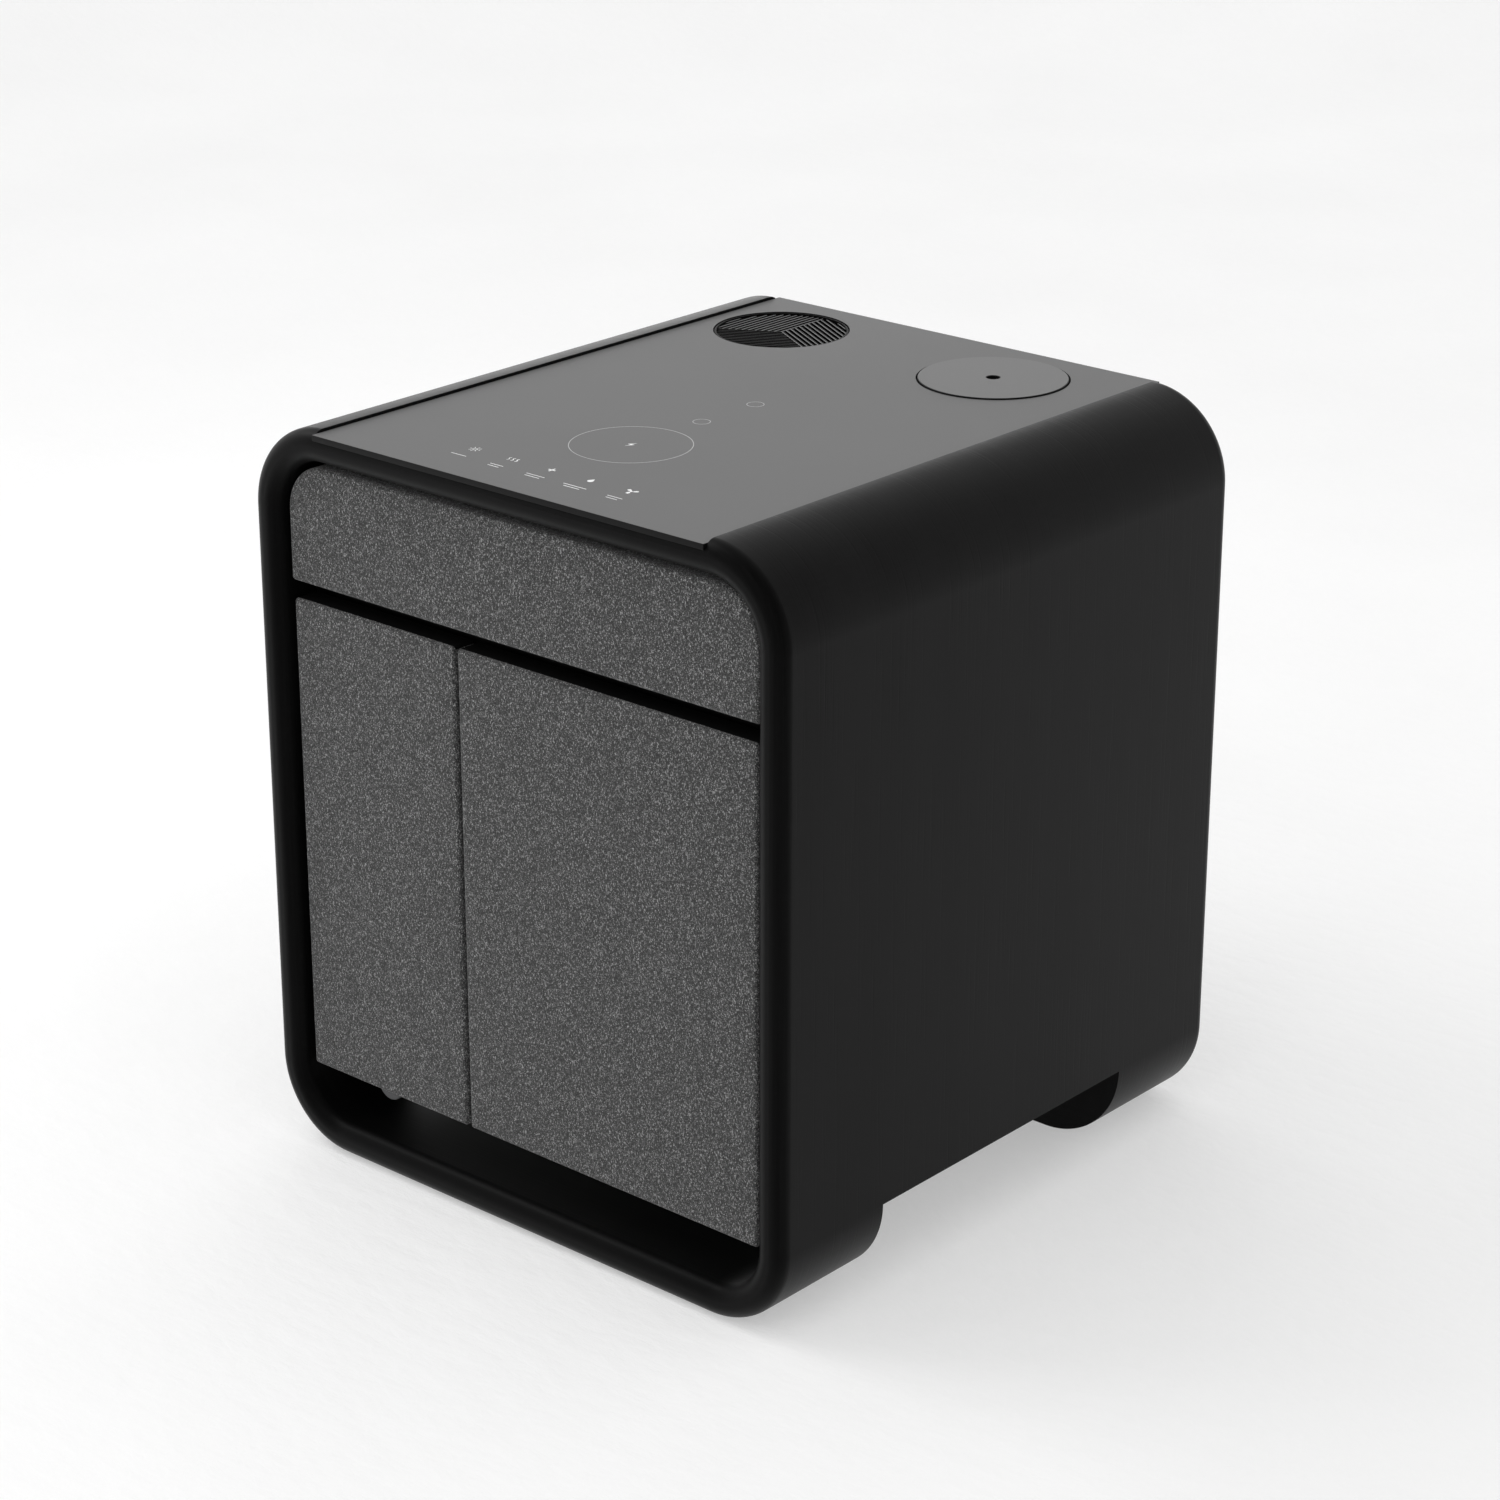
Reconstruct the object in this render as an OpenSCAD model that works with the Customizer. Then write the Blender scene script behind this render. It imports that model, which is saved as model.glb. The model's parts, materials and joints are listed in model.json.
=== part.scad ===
// Smart bedside cabinet: a bent-plywood wrap round a drawer, two doors, an air
// cleaner and a humidifier, with a glass touch and charging top.
// Millimetres. Origin on the floor under the middle, +Z up, the front faces -Y.

/* [Body] */
// Width over the side walls
body_w = 450; // [440:1:460]
// Depth from front edge to back edge
body_d = 450; // [446:1:460]
// Height from the floor to the rims beside the glass
body_h = 510; // [505:1:520]
// Outer radius of the four bends
corner_r = 60; // [58:1:62]
// Thickness of the bent plywood
wall_t = 22; // [21:1:24]
// Rounding of the front and back edges of the wrap
edge_r = 10; // [6:1:10]

/* [Legs] */
// Depth of the front leg band
front_leg = 99; // [90:1:105]
// Depth of the rear leg band
rear_leg = 101; // [90:1:105]
// Radius of a rubber foot pad
pad_r = 12; // [10:1:14]
// How far a pad stands below the wood
pad_proud = 1; // [0.5:0.1:1.5]

/* [Top] */
// Thickness of the glass
glass_t = 4; // [3:0.5:5]
// How far the glass lies below the rims
glass_sink = 2; // [1.5:0.5:2.5]
// Centre of the air outlet, left of the middle line
grille_x = -107; // [-108:1:-106]
// Centre of the air outlet, behind the middle line
grille_y = 160; // [159:1:161]
// Radius of the air outlet's hole in the glass
grille_r = 47; // [46:0.5:47.5]
// Distance between two louvre slats
slat_pitch = 4; // [3.5:0.1:5]
// Thickness of a louvre slat
slat_t = 1.3; // [1:0.1:1.6]
// Centre of the humidifier lid, right of the middle line
lid_x = 78; // [76:1:80]
// Radius of the humidifier lid
lid_r = 50; // [49:0.5:50]
// Radius of the mist outlet in the lid
mist_r = 4.5; // [3:0.5:6]
// Centre of the charging spot, in front of the middle line
coil_y = -108; // [-112:1:-100]

/* [Front] */
// How far the fabric fronts lie behind the wrap's front edge
front_recess = 9; // [8:1:11]
// Thickness of a covered front, board and fabric together
front_t = 18; // [17:0.5:18]
// Thickness of the fabric and its padding
fabric_t = 1.5; // [1:0.1:2]
// Height of the drawer front's lower edge
drawer_z = 402; // [400:1:404]
// Height of the drawer front
drawer_h = 81; // [78:1:82]
// Height of the finger gap under the drawer front
finger_gap = 12; // [11:1:14]
// Height of the doors' lower edge
door_z = 57; // [55:1:58]
// Gap between the drawer front and each side wall
drawer_side_gap = 3; // [2:0.5:4]
// Gap between a door and its side wall
door_side_gap = 4.5; // [4:0.1:5]
// Gap between the two doors
door_gap = 3; // [2:0.5:4]
// Where the narrow left door ends
door_split = -51.5; // [-53:0.5:-50]

/* [Drawer] */
// Depth of the drawer box
box_d = 280; // [240:5:285]
// Half the width of the drawer box
box_x = 188; // [186:1:188]

/* [Panels] */
// Thickness of the carcass panels
panel_t = 12; // [10:1:12]
// Thickness of the back panel
back_t = 6; // [4:1:6]

/* [Hidden] */
$fn = 64;
in_x = body_w / 2 - wall_t;                  // inner face of the side walls
y_front = -body_d / 2;
y_back = body_d / 2;
flat_x = body_w / 2 - corner_r;              // where the bends begin
bend_low = pad_proud + corner_r;             // centre height of the lower bends
bend_high = body_h - corner_r;               // centre height of the upper bends
in_r = corner_r - wall_t;                    // inner radius of the bends
in_top = body_h - wall_t;                    // underside of the top
glass_top_z = body_h - glass_sink;
glass_low_z = glass_top_z - glass_t;
well_x = flat_x - 5;                         // half width of the cut-out under the glass
well_front = y_front + 22;
well_back = y_back - 11;
face_y = y_front + front_recess;             // fabric face of the drawer and doors
board_back = face_y + front_t;
cab_y = board_back + 6;                      // front edge of the carcass
wall_y = 95;                                 // front face of the service wall
wall_back = 103;
back_y = 212;                                // inner face of the back panel
base_z = bend_low;
floor_z = base_z + panel_t;
door_top = drawer_z - finger_gap;
mid_z = door_top - panel_t;
door_out = in_x - door_side_gap;             // outer edge of each door
left_in = door_split - door_gap / 2;
right_in = door_split + door_gap / 2;
split_x = door_split - 0.5;                  // middle of the divider
hinge_x = door_out - 8.5;                    // door pivots
hinge_y = face_y + front_t / 2;
hinge_low = 100;
hinge_high = 347;
pin_r = 2;
bore_gap = 0.05;                             // radial running clearance
notch_h = 8;
pin_grip = 10;                               // how far a pin reaches into the board at each end
arm_half = 2.5;                              // half height of a hinge arm
arm_r = 4;
arm_x = 3;                                   // half width of a hinge arm
arm_plate = 2;
tab_x = -126.5;
tab_r = 11;
tab_z = door_z + 6;
box_z = drawer_z + 12;                       // the lip behind the front is for fingers
box_h = 54;
box_wall = 10;
box_floor = 6;
rail_y = cab_y + 2;
rail_len = 275;
rail_z = 412;
rail_h = 36;
rail_t = 1.5;
rail_gap = 0.5;
rail_reach = 11;                             // how far the lips of the rails stand out
mid_reach = 8;
lid_y = 159;
tank_r = 46;
tank_wall = 2.5;
tank_low = 292;
tank_high = glass_low_z + 0.5;
lid_top = glass_top_z + 0.8;
seat_r = 49;
duct_l = -158;
duct_r = -56;
duct_back = 211;
duct_low = 100;
duct_high = 486;
duct_wall = 2;
filter_l = -163;
filter_r = -63;
filter_low = 100;
filter_high = 350;
filter_t = 20;
rail_play = 0.3;                             // round the filter in its rails, and behind it
filter_rail_t = 3;
grip_z = 225;                                // middle of the filter's grip
grip_h = 30;
pleat_pitch = 10;
air_l = filter_l + 10;                       // opening in the service wall
air_r = filter_r - 10;
air_low = filter_low + 10;
air_high = filter_high - 10;
fan_low = 450;
fan_high = 475;
fan_r = 44;
fan_hub_r = 15;
blades = 7;
blade_angle = 38;
blade_t = 1.6;
blade_w = 18;
shaft_r = 1.5;
post_low = 430;                              // underside of the corner posts that hold the fan
fan_plate = 3;
board_t = 1.6;
tray_low = 489;                              // underside of the tray under the glass
tray_floor = 491;
tray_t = 2;
board_z = 500;                               // underside of the touch boards
coil_z = 494;                                // top of the ferrite, under the coil
coil_turns = 8;
neck_top = 492;                              // joint between the duct's neck and the louvre
slat_z = 500;
icon_pitch = 33;
icon_y = -179;
dot_ys = [-42, 10];
shelf_z = 230;
shelf_t = 10;
shelf_pin_ys = [-150, 60];
supply_lo = [50, 120];                       // power supply, corners seen from above
supply_hi = [170, 190];
supply_h = 42;
hub_x = 45;                                  // half width of the hub's circuit board
hub_low = 120;
hub_high = 220;
hub_inset = 5;                               // from the board's edges to its screws
hub_gap = 6;                                 // between the board and the service wall
chips = [[-20, 160, 24, 24, 3], [15, 190, 18, 12, 4], [20, 150, 14, 20, 6],
    [-28, 200, 16, 8, 9]];                   // each: middle in X and Z, size in X and Z, height
cable_hole = [10, 460];                      // for the lead up to the touch boards
inlet_x = 120;
inlet_z = 112;
inlet_half = [24, 14];                       // half sizes of the inlet's body, flange, socket
flange_half = [28, 17];
socket_half = [20, 10];
inlet_t = 14;
inlet_pins = [[-9, 2], [0, -4], [9, 2]];
vent_w = 3.6;                                // width of every air slot
base_vents = [-180, -80];                    // ends of the slots in the base panel
base_vent_y = -130;
base_vent_pitch = 10;
back_vent_x = 105;
back_vent_half = 45;
back_vent_z = 160;
back_vent_pitch = 9;
screw_head_r = 3.6;
screw_head_h = 2;
screw_deep = 10;                             // how far a screw reaches into the wood
lamp_x = 150;
magnet_low = 352;
magnet_high = 372;
magnet_x = 6;                                // half width of a magnet, and its distance from the divider
cleat_t = 12;
cleat_low = 80;
cleat_high = 440;
side_screw_zs = [100, 260, 420];
base_screw_xs = [-150, 0, 150];
pad_x = 145;
pad_sink = 1.5;

// ---- helpers ----

// A block from its lowest to its highest corner
module block(lo, hi) translate(lo) cube(hi - lo);

// An upright rod at a place, between two heights
module rod(at, r, z0, z1) translate([at[0], at[1], z0]) cylinder(h = z1 - z0, r = r);

// A rod along Y
module rod_y(x, z, r, y0, y1) translate([x, y0, z]) rotate([-90, 0, 0])
    cylinder(h = y1 - y0, r = r);

// A rod along X
module rod_x(y, z, r, x0, x1) translate([x0, y, z]) rotate([0, 90, 0])
    cylinder(h = x1 - x0, r = r);

// An outline drawn in X and Z, made solid between two depths
module upright(y0, y1) translate([0, y1, 0]) rotate([90, 0, 0])
    linear_extrude(height = y1 - y0) children();

// The children and their mirror image left and right
module pair() {
    children();
    mirror([1, 0, 0]) children();
}

// Section of the wrap's wall: across the wall in X, front to back in Y
module wall_section() {
    translate([0, y_front + edge_r]) square([wall_t, body_d - 2 * edge_r]);
    translate([edge_r, y_front]) square([wall_t - 2 * edge_r, body_d]);
    for (x = [edge_r, wall_t - edge_r], y = [y_front + edge_r, y_back - edge_r])
        translate([x, y]) circle(edge_r);
}

// One quarter bend, from +X up to +Z about its own centre
module bend() rotate([90, 0, 0]) rotate_extrude(angle = 90)
    translate([in_r, 0]) wall_section();

// A flat length of wall lying across the body, with its top face at a height
module flat_wall(top) translate([-flat_x, 0, top]) rotate([0, 90, 0])
    linear_extrude(height = 2 * flat_x) wall_section();

// Outline of the space inside the wrap above a height, with its upper bends
module inner_outline(z0) {
    translate([-in_x, z0]) square([2 * in_x, bend_high - z0]);
    translate([-flat_x, z0]) square([2 * flat_x, in_top - z0]);
    for (s = [-1, 1]) translate([s * flat_x, bend_high]) circle(in_r);
}

// Outline of the drawer front, its upper corners following the bends
module drawer_outline(inset) {
    x = in_x - drawer_side_gap - inset;
    r = in_r - 5 - inset;
    z0 = drawer_z + inset;
    z1 = drawer_z + drawer_h - inset;
    translate([-x, z0]) square([2 * x, z1 - r - z0]);
    translate([-x + r, z0]) square([2 * (x - r), z1 - z0]);
    for (s = [-1, 1]) translate([s * (x - r), z1 - r]) circle(r);
}

// ---- wrap ----

module leg_cut() block([-body_w, y_front + front_leg, -1],
    [body_w, y_back - rear_leg, bend_low]);

module pad_places() for (x = [-pad_x, pad_x], y = [y_front + 45, y_back - 50])
    translate([x, y, 0]) children();

module wrap_frame() color([0.11, 0.11, 0.115]) difference() {
    union() {
        pair() {
            translate([in_x, 0, bend_low]) linear_extrude(height = bend_high - bend_low)
                wall_section();
            translate([flat_x, 0, bend_high]) bend();
            translate([flat_x, 0, bend_low]) mirror([0, 0, 1]) bend();
        }
        flat_wall(body_h);
        flat_wall(pad_proud + wall_t);
    }
    leg_cut();
    block([-flat_x - 0.5, y_front - 1, glass_low_z], [flat_x + 0.5, y_back + 1, body_h + 1]);
    block([-well_x, well_front, in_top - 1], [well_x, well_back, body_h]);
    pad_places() translate([0, 0, -1]) cylinder(h = 1 + pad_proud + pad_sink, r = pad_r);
    for (y = shelf_pin_ys) rod_x(y, shelf_z - 2.5, 2.5, in_x - 1, in_x + 8);
}

module foot_pads() color([0.07, 0.07, 0.07]) pad_places()
    cylinder(h = pad_proud + pad_sink, r = pad_r);

// ---- glass top and the electronics under it ----

module glass_top() color([0.32, 0.32, 0.33]) difference() {
    block([-flat_x, y_front, glass_low_z], [flat_x, y_back, glass_top_z]);
    rod([grille_x, grille_y], grille_r, glass_low_z - 1, glass_top_z + 1);
    rod([lid_x, lid_y], lid_r + 1, glass_low_z - 1, glass_top_z + 1);
}

module tray_posts() {
    for (x = [-85, 85], y = [icon_y - 14, icon_y + 14]) rod([x, y], 3, tray_floor, board_z);
    for (y = [dot_ys[0] - 9, dot_ys[1] + 9]) rod([0, y], 3, tray_floor, board_z);
}

// The two round collars of the tray, or with a smaller radius their bores
module collars(wall, z0, z1) {
    rod([grille_x, grille_y], grille_r + wall, z0, z1);
    rod([lid_x, lid_y], lid_r + wall, z0, z1);
}

module top_tray() color([0.15, 0.15, 0.16]) {
    difference() {
        union() {
            difference() {
                block([-well_x, well_front, tray_low], [well_x, well_back, glass_low_z]);
                block([-well_x + tray_t, well_front + tray_t, tray_floor],
                    [well_x - tray_t, well_back - tray_t, glass_low_z + 1]);
            }
            collars(tray_t, tray_low, glass_low_z);
        }
        collars(0.5, tray_low - 1, glass_low_z + 1);
    }
    tray_posts();
}

module coil_ferrite() color([0.2, 0.2, 0.21]) rod([0, coil_y], 28, tray_floor, coil_z);

// A flat spiral coil, drawn as its turns side by side
module charging_coil() color([0.72, 0.42, 0.2]) translate([0, coil_y, coil_z]) rotate_extrude()
    for (i = [0:coil_turns - 1]) translate([10 + 2 * i, 0]) {
        square([2, 2]);
        translate([1, 2]) circle(0.9);
    }

module board(x, y0, y1, pads) {
    block([-x, y0, board_z], [x, y1, board_z + board_t]);
    for (p = pads) rod(p, 5, board_z, glass_low_z);
}

module touch_board() color([0.05, 0.16, 0.1])
    board(92, icon_y - 18, icon_y + 18, [for (i = [-2:2]) [i * icon_pitch, icon_y]]);

module sensor_board() color([0.05, 0.16, 0.1])
    board(9, dot_ys[0] - 14, dot_ys[1] + 14, [for (y = dot_ys) [0, y]]);

// ---- air cleaner ----

// One third of the louvre: slats beside one spoke, drawn for the sector from -30 to 90 degrees
module louvre_sector() intersection() {
    rotate(-30) for (i = [0:11]) translate([-40, i * slat_pitch, slat_z])
        cube([100, slat_t, glass_top_z - 1.5 - slat_z]);
    linear_extrude(height = body_h)
        polygon([[0, 0], [60 * cos(-30), 60 * sin(-30)], [90, 60], [0, 60]]);
    rod([0, 0], grille_r - 1.5, 0, body_h);
}

module grille_insert() color([0.1, 0.1, 0.1]) translate([grille_x, grille_y, 0]) {
    difference() {
        rod([0, 0], grille_r - 0.5, neck_top, glass_top_z - 0.5);
        rod([0, 0], grille_r - 2.2, neck_top - 1, body_h);
    }
    for (a = [0, 120, 240]) rotate(a) louvre_sector();
}

module duct_posts() for (x = [duct_l + 2, duct_r - 10], y = [wall_back + 2, duct_back - 10])
    block([x, y, post_low], [x + 8, y + 8, fan_high - fan_plate]);

function fan_screw_places() = [for (x = [duct_l + 6, duct_r - 6],
    y = [wall_back + 6, duct_back - 6]) [x, y]];

module air_duct() color([0.55, 0.56, 0.57]) difference() {
    union() {
        difference() {
            block([duct_l, wall_back, duct_low], [duct_r, duct_back, duct_high]);
            block([duct_l + duct_wall, wall_back + duct_wall, duct_low + duct_wall],
                [duct_r - duct_wall, duct_back - duct_wall, duct_high - duct_wall]);
        }
        rod([grille_x, grille_y], grille_r - 0.5, duct_high - duct_wall, neck_top);
        duct_posts();
    }
    rod([grille_x, grille_y], grille_r - 2.5, duct_high - 4, neck_top + 1);
    block([air_l, wall_back - 1, air_low], [air_r, wall_back + 3, air_high]);
    for (p = fan_screw_places()) rod(p, pin_r, fan_low + 5, fan_high + 5);
}

module fan_frame() color([0.13, 0.13, 0.14]) difference() {
    union() {
        difference() {
            union() {
                block([duct_l + duct_wall, wall_back + duct_wall, fan_high - fan_plate],
                    [duct_r - duct_wall, duct_back - duct_wall, fan_high]);
                rod([grille_x, grille_y], fan_r + 2.5, fan_low, fan_high);
            }
            rod([grille_x, grille_y], fan_r, fan_low - 1, fan_high + 1);
        }
        rod([grille_x, grille_y], fan_hub_r + 1, fan_low, fan_low + 4);
        for (a = [45:90:315]) translate([grille_x, grille_y, fan_low]) rotate(a)
            translate([fan_hub_r - 2, -2, 0]) cube([fan_r - fan_hub_r + 3, 4, fan_plate]);
    }
    rod([grille_x, grille_y], shaft_r + bore_gap, fan_low - 1, fan_low + 5);
    for (p = fan_screw_places()) rod(p, pin_r + 0.2, fan_low - 1, fan_high + 1);
}

module fan_rotor() color([0.2, 0.2, 0.21]) translate([grille_x, grille_y, 0]) {
    rod([0, 0], fan_hub_r, fan_low + 5, fan_high - 4);
    rod([0, 0], shaft_r, fan_low + 0.5, fan_low + 6);
    for (i = [0:blades - 1]) rotate(i * 360 / blades)
        translate([fan_hub_r - 3, 0, (fan_low + fan_high + 1) / 2]) rotate([blade_angle, 0, 0])
            translate([0, -blade_t / 2, -blade_w / 2])
                cube([fan_r - fan_hub_r + 0.5, blade_t, blade_w]);
}

module fan_screws() color([0.6, 0.6, 0.62]) for (p = fan_screw_places()) {
    rod(p, pin_r, fan_low + 7, fan_high);
    rod(p, screw_head_r, fan_high, fan_high + screw_head_h);
}

module filter_frame() color([0.75, 0.76, 0.77]) difference() {
    union() {
        block([filter_l, wall_y - filter_t, filter_low], [filter_r, wall_y - rail_play, filter_high]);
        block([filter_r - 8, wall_y - filter_t - 6, grip_z - grip_h / 2],
            [filter_r - 5, wall_y - filter_t, grip_z + grip_h / 2]);
    }
    block([air_l, wall_y - filter_t - 1, air_low], [air_r, wall_y + 1, air_high]);
}

// The two rails on the service wall that the filter slides out of
module filter_rails() color([0.3, 0.3, 0.31])
    for (z = [filter_low - rail_play - filter_rail_t, filter_high + rail_play])
        block([filter_l, wall_y - filter_t, z], [filter_r, wall_y, z + filter_rail_t]);

// Pleats of the filter, a zigzag seen from above
module filter_media() color([0.9, 0.9, 0.88]) translate([0, 0, air_low]) linear_extrude(
    height = air_high - air_low) for (i = [0:7])
    translate([air_l + pleat_pitch * i, wall_y - filter_t + 2])
        polygon([[0, 0], [1.6, 0], [5, 13], [8.4, 0], [10, 0], [10, 1.2], [9.2, 1.2], [5.8, 16],
            [4.2, 16], [0.8, 1.2], [0, 1.2]]);

// ---- humidifier ----

module tank_lid() color([0.33, 0.33, 0.34]) translate([lid_x, lid_y, 0]) difference() {
    union() {
        rod([0, 0], lid_r, tank_high, lid_top);
        rod([0, 0], tank_r - tank_wall - 0.2, tank_high - 8, tank_high);
    }
    rod([0, 0], tank_r - tank_wall - 2.5, tank_high - 9, tank_high - 1);
    rod([0, 0], mist_r, tank_high - 20, lid_top + 1);
}

module water_tank() color([0.75, 0.8, 0.83, 0.5]) translate([lid_x, lid_y, 0]) difference() {
    rod([0, 0], tank_r, tank_low, tank_high);
    rod([0, 0], tank_r - tank_wall, tank_low + 3, tank_high + 1);
    rod([0, 0], 12, tank_low - 1, tank_low + 4);
}

module tank_seat() color([0.3, 0.3, 0.31]) translate([lid_x, lid_y, 0]) difference() {
    rod([0, 0], seat_r, tank_low - 6, tank_low + 18);
    rod([0, 0], tank_r + 0.5, tank_low, tank_low + 19);
    rod([0, 0], 10, tank_low - 5, tank_low + 1);
}

module mist_disc() color([0.8, 0.78, 0.7]) rod([lid_x, lid_y], 10, tank_low - 5, tank_low - 1);

module tank_shelf() color([0.16, 0.16, 0.16])
    block([duct_r, wall_back, tank_low - 14], [in_x - cleat_t, back_y, tank_low - 6]);

// ---- electronics behind the service wall ----

module hub_places() for (x = [-1, 1] * (hub_x - hub_inset), z = [hub_low + hub_inset,
    hub_high - hub_inset]) translate([x, 0, z]) children();

module hub_board() color([0.05, 0.2, 0.12]) {
    face = wall_back + hub_gap + board_t;
    difference() {
        union() {
            block([-hub_x, face - board_t, hub_low], [hub_x, face, hub_high]);
            hub_places() rod_y(0, 0, 3, wall_back, face - board_t);
        }
        hub_places() rod_y(0, 0, 1.6, wall_back - 1, face + 1);
    }
    for (c = chips) block([c[0] - c[2] / 2, face, c[1] - c[3] / 2],
        [c[0] + c[2] / 2, face + c[4], c[1] + c[3] / 2]);
}

// A folded case with cooling slots on top and a notch for its terminals
module power_supply() color([0.7, 0.71, 0.72]) difference() {
    top = floor_z + supply_h;
    block([each supply_lo, floor_z], [each supply_hi, top]);
    for (i = [0:9]) translate([supply_lo[0] + 12 + 10 * i, supply_lo[1] + 10, 0])
        block([0, 0, top - 3], [4, 50, top + 1]);
    block([supply_hi[0] - 12, supply_lo[1] + 8, top - 22], [supply_hi[0] + 1, supply_hi[1] - 8,
        top + 1]);
}

// A block behind the mains inlet's face, of a half size in X and Z
module inlet_block(half, y0, y1) block([inlet_x - half[0], y0, inlet_z - half[1]],
    [inlet_x + half[0], y1, inlet_z + half[1]]);

module mains_inlet() color([0.06, 0.06, 0.06]) {
    deep = back_y - inlet_t + 4;
    difference() {
        union() {
            inlet_block(inlet_half, back_y - inlet_t, back_y + back_t);
            inlet_block(flange_half, back_y + back_t, back_y + back_t + 2);
        }
        inlet_block(socket_half, deep, y_back);
    }
    for (p = inlet_pins) translate([inlet_x + p[0], deep, inlet_z + p[1]])
        block([-1, 0, -2.5], [1, inlet_t, 2.5]);
}

// ---- carcass ----

module base_panel() color([0.13, 0.13, 0.13]) difference() {
    block([-in_x, cab_y, base_z], [in_x, back_y, floor_z]);
    for (i = [0:15]) translate([0, base_vent_y + base_vent_pitch * i, 0])
        block([base_vents[0], 0, base_z - 1], [base_vents[1], vent_w, floor_z + 1]);
    screw_places() rod_y(0, 0, pin_r, back_y - screw_deep, back_y + 1);
}

module divider_panel() color([0.13, 0.13, 0.13]) difference() {
    block([split_x - panel_t / 2, cab_y, floor_z], [split_x + panel_t / 2, wall_y, mid_z]);
    for (y = shelf_pin_ys)
        rod_x(y, shelf_z - 2.5, 2.5, split_x + panel_t / 2 - 8, split_x + panel_t / 2 + 1);
}

module mid_panel() color([0.13, 0.13, 0.13])
    block([-in_x, cab_y, mid_z], [in_x, wall_y, door_top]);

module service_wall() color([0.13, 0.13, 0.13]) difference() {
    upright(wall_y, wall_back) inner_outline(floor_z);
    block([air_l, wall_y - 1, air_low], [air_r, wall_back + 1, air_high]);
    rod_y(cable_hole[0], cable_hole[1], 12, wall_y - 1, wall_back + 1);
}

module bay_shelf() color([0.15, 0.15, 0.15])
    block([split_x + panel_t / 2 + 0.5, cab_y + 12, shelf_z], [in_x - 0.5, wall_y - 5,
        shelf_z + shelf_t]);

module shelf_pins() color([0.65, 0.65, 0.67]) for (y = shelf_pin_ys) {
    rod_x(y, shelf_z - 2.5, 2.5, split_x + panel_t / 2 - 8, split_x + panel_t / 2 + 8);
    rod_x(y, shelf_z - 2.5, 2.5, in_x - 8, in_x + 8);
}

module back_panel() color([0.1, 0.1, 0.1]) difference() {
    upright(back_y, back_y + back_t) inner_outline(base_z);
    for (side = [-1, 1], i = [0:13])
        translate([side * back_vent_x, 0, back_vent_z + back_vent_pitch * i])
            block([-back_vent_half, back_y - 1, 0], [back_vent_half, back_y + back_t + 1, vent_w]);
    inlet_block(inlet_half, back_y - 1, back_y + back_t + 1);
    screw_places() rod_y(0, 0, pin_r, back_y - 1, back_y + back_t + 1);
}

module rear_cleats() color([0.45, 0.36, 0.25]) difference() {
    pair() block([in_x - cleat_t, back_y - cleat_t, cleat_low], [in_x, back_y, cleat_high]);
    screw_places() rod_y(0, 0, pin_r, back_y - screw_deep, back_y + 1);
}

module screw_places() {
    for (s = [-1, 1], z = side_screw_zs) translate([s * (in_x - cleat_t / 2), 0, z]) children();
    for (x = base_screw_xs) translate([x, 0, base_z + panel_t / 2]) children();
}

module back_screws() color([0.12, 0.12, 0.12]) screw_places() {
    rod_y(0, 0, screw_head_r, back_y + back_t, back_y + back_t + screw_head_h);
    rod_y(0, 0, pin_r, back_y - screw_deep, back_y + back_t);
}

module light_strip() color([0.85, 0.85, 0.8])
    block([-lamp_x, cab_y + 4, base_z - 3], [lamp_x, cab_y + 14, base_z]);

module door_magnets() color([0.3, 0.3, 0.31]) for (s = [-1, 1])
    translate([split_x + s * (panel_t / 2 + magnet_x), 0, 0])
        block([-magnet_x, board_back + 1, magnet_low], [magnet_x, cab_y + 12, magnet_high]);

// ---- drawer ----

module drawer_front() color([0.2, 0.17, 0.14])
    upright(face_y + fabric_t, board_back) drawer_outline(fabric_t);

module drawer_fabric() color([0.32, 0.32, 0.33]) difference() {
    upright(face_y, board_back - 1) drawer_outline(0);
    upright(face_y + fabric_t, board_back) drawer_outline(fabric_t);
}

module drawer_box() color([0.16, 0.16, 0.16]) difference() {
    block([-box_x, board_back, box_z], [box_x, board_back + box_d, box_z + box_h]);
    block([-box_x + box_wall, board_back + box_wall, box_z + box_floor],
        [box_x - box_wall, board_back + box_d - box_wall, box_z + box_h + 1]);
}

// A channel rail open towards the drawer: outer face, how far its lips reach, and its step inwards
module channel(face, reach, step) difference() {
    block([face - reach, rail_y, rail_z + step], [face, rail_y + rail_len, rail_z + rail_h - step]);
    block([face - reach - 1, rail_y - 1, rail_z + step + rail_t], [face - rail_t,
        rail_y + rail_len + 1, rail_z + rail_h - step - rail_t]);
}

module runner_outer_right() color([0.6, 0.61, 0.63]) channel(in_x, rail_reach, 0);

module runner_mid_right() color([0.6, 0.61, 0.63])
    channel(in_x - rail_t - rail_gap, mid_reach, rail_t + rail_gap);

// The inner rail is a channel the other way round, fixed to the drawer box
module runner_inner_right() color([0.6, 0.61, 0.63]) translate([box_x, 0, 0]) mirror([1, 0, 0])
    channel(0, rail_reach, 2 * (rail_t + rail_gap));

module runner_outer_left() mirror([1, 0, 0]) runner_outer_right();
module runner_mid_left() mirror([1, 0, 0]) runner_mid_right();
module runner_inner_left() mirror([1, 0, 0]) runner_inner_right();

// ---- doors ----

// Everything about a door is drawn for the right one, and mirrored for the left one;
// inner is the door's free edge, measured towards its hinge side

module hinge_notches() for (z = [hinge_low, hinge_high])
    block([hinge_x - 4.6, hinge_y - 4.6, z - notch_h / 2], [in_x, cab_y, z + notch_h / 2]);

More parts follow.
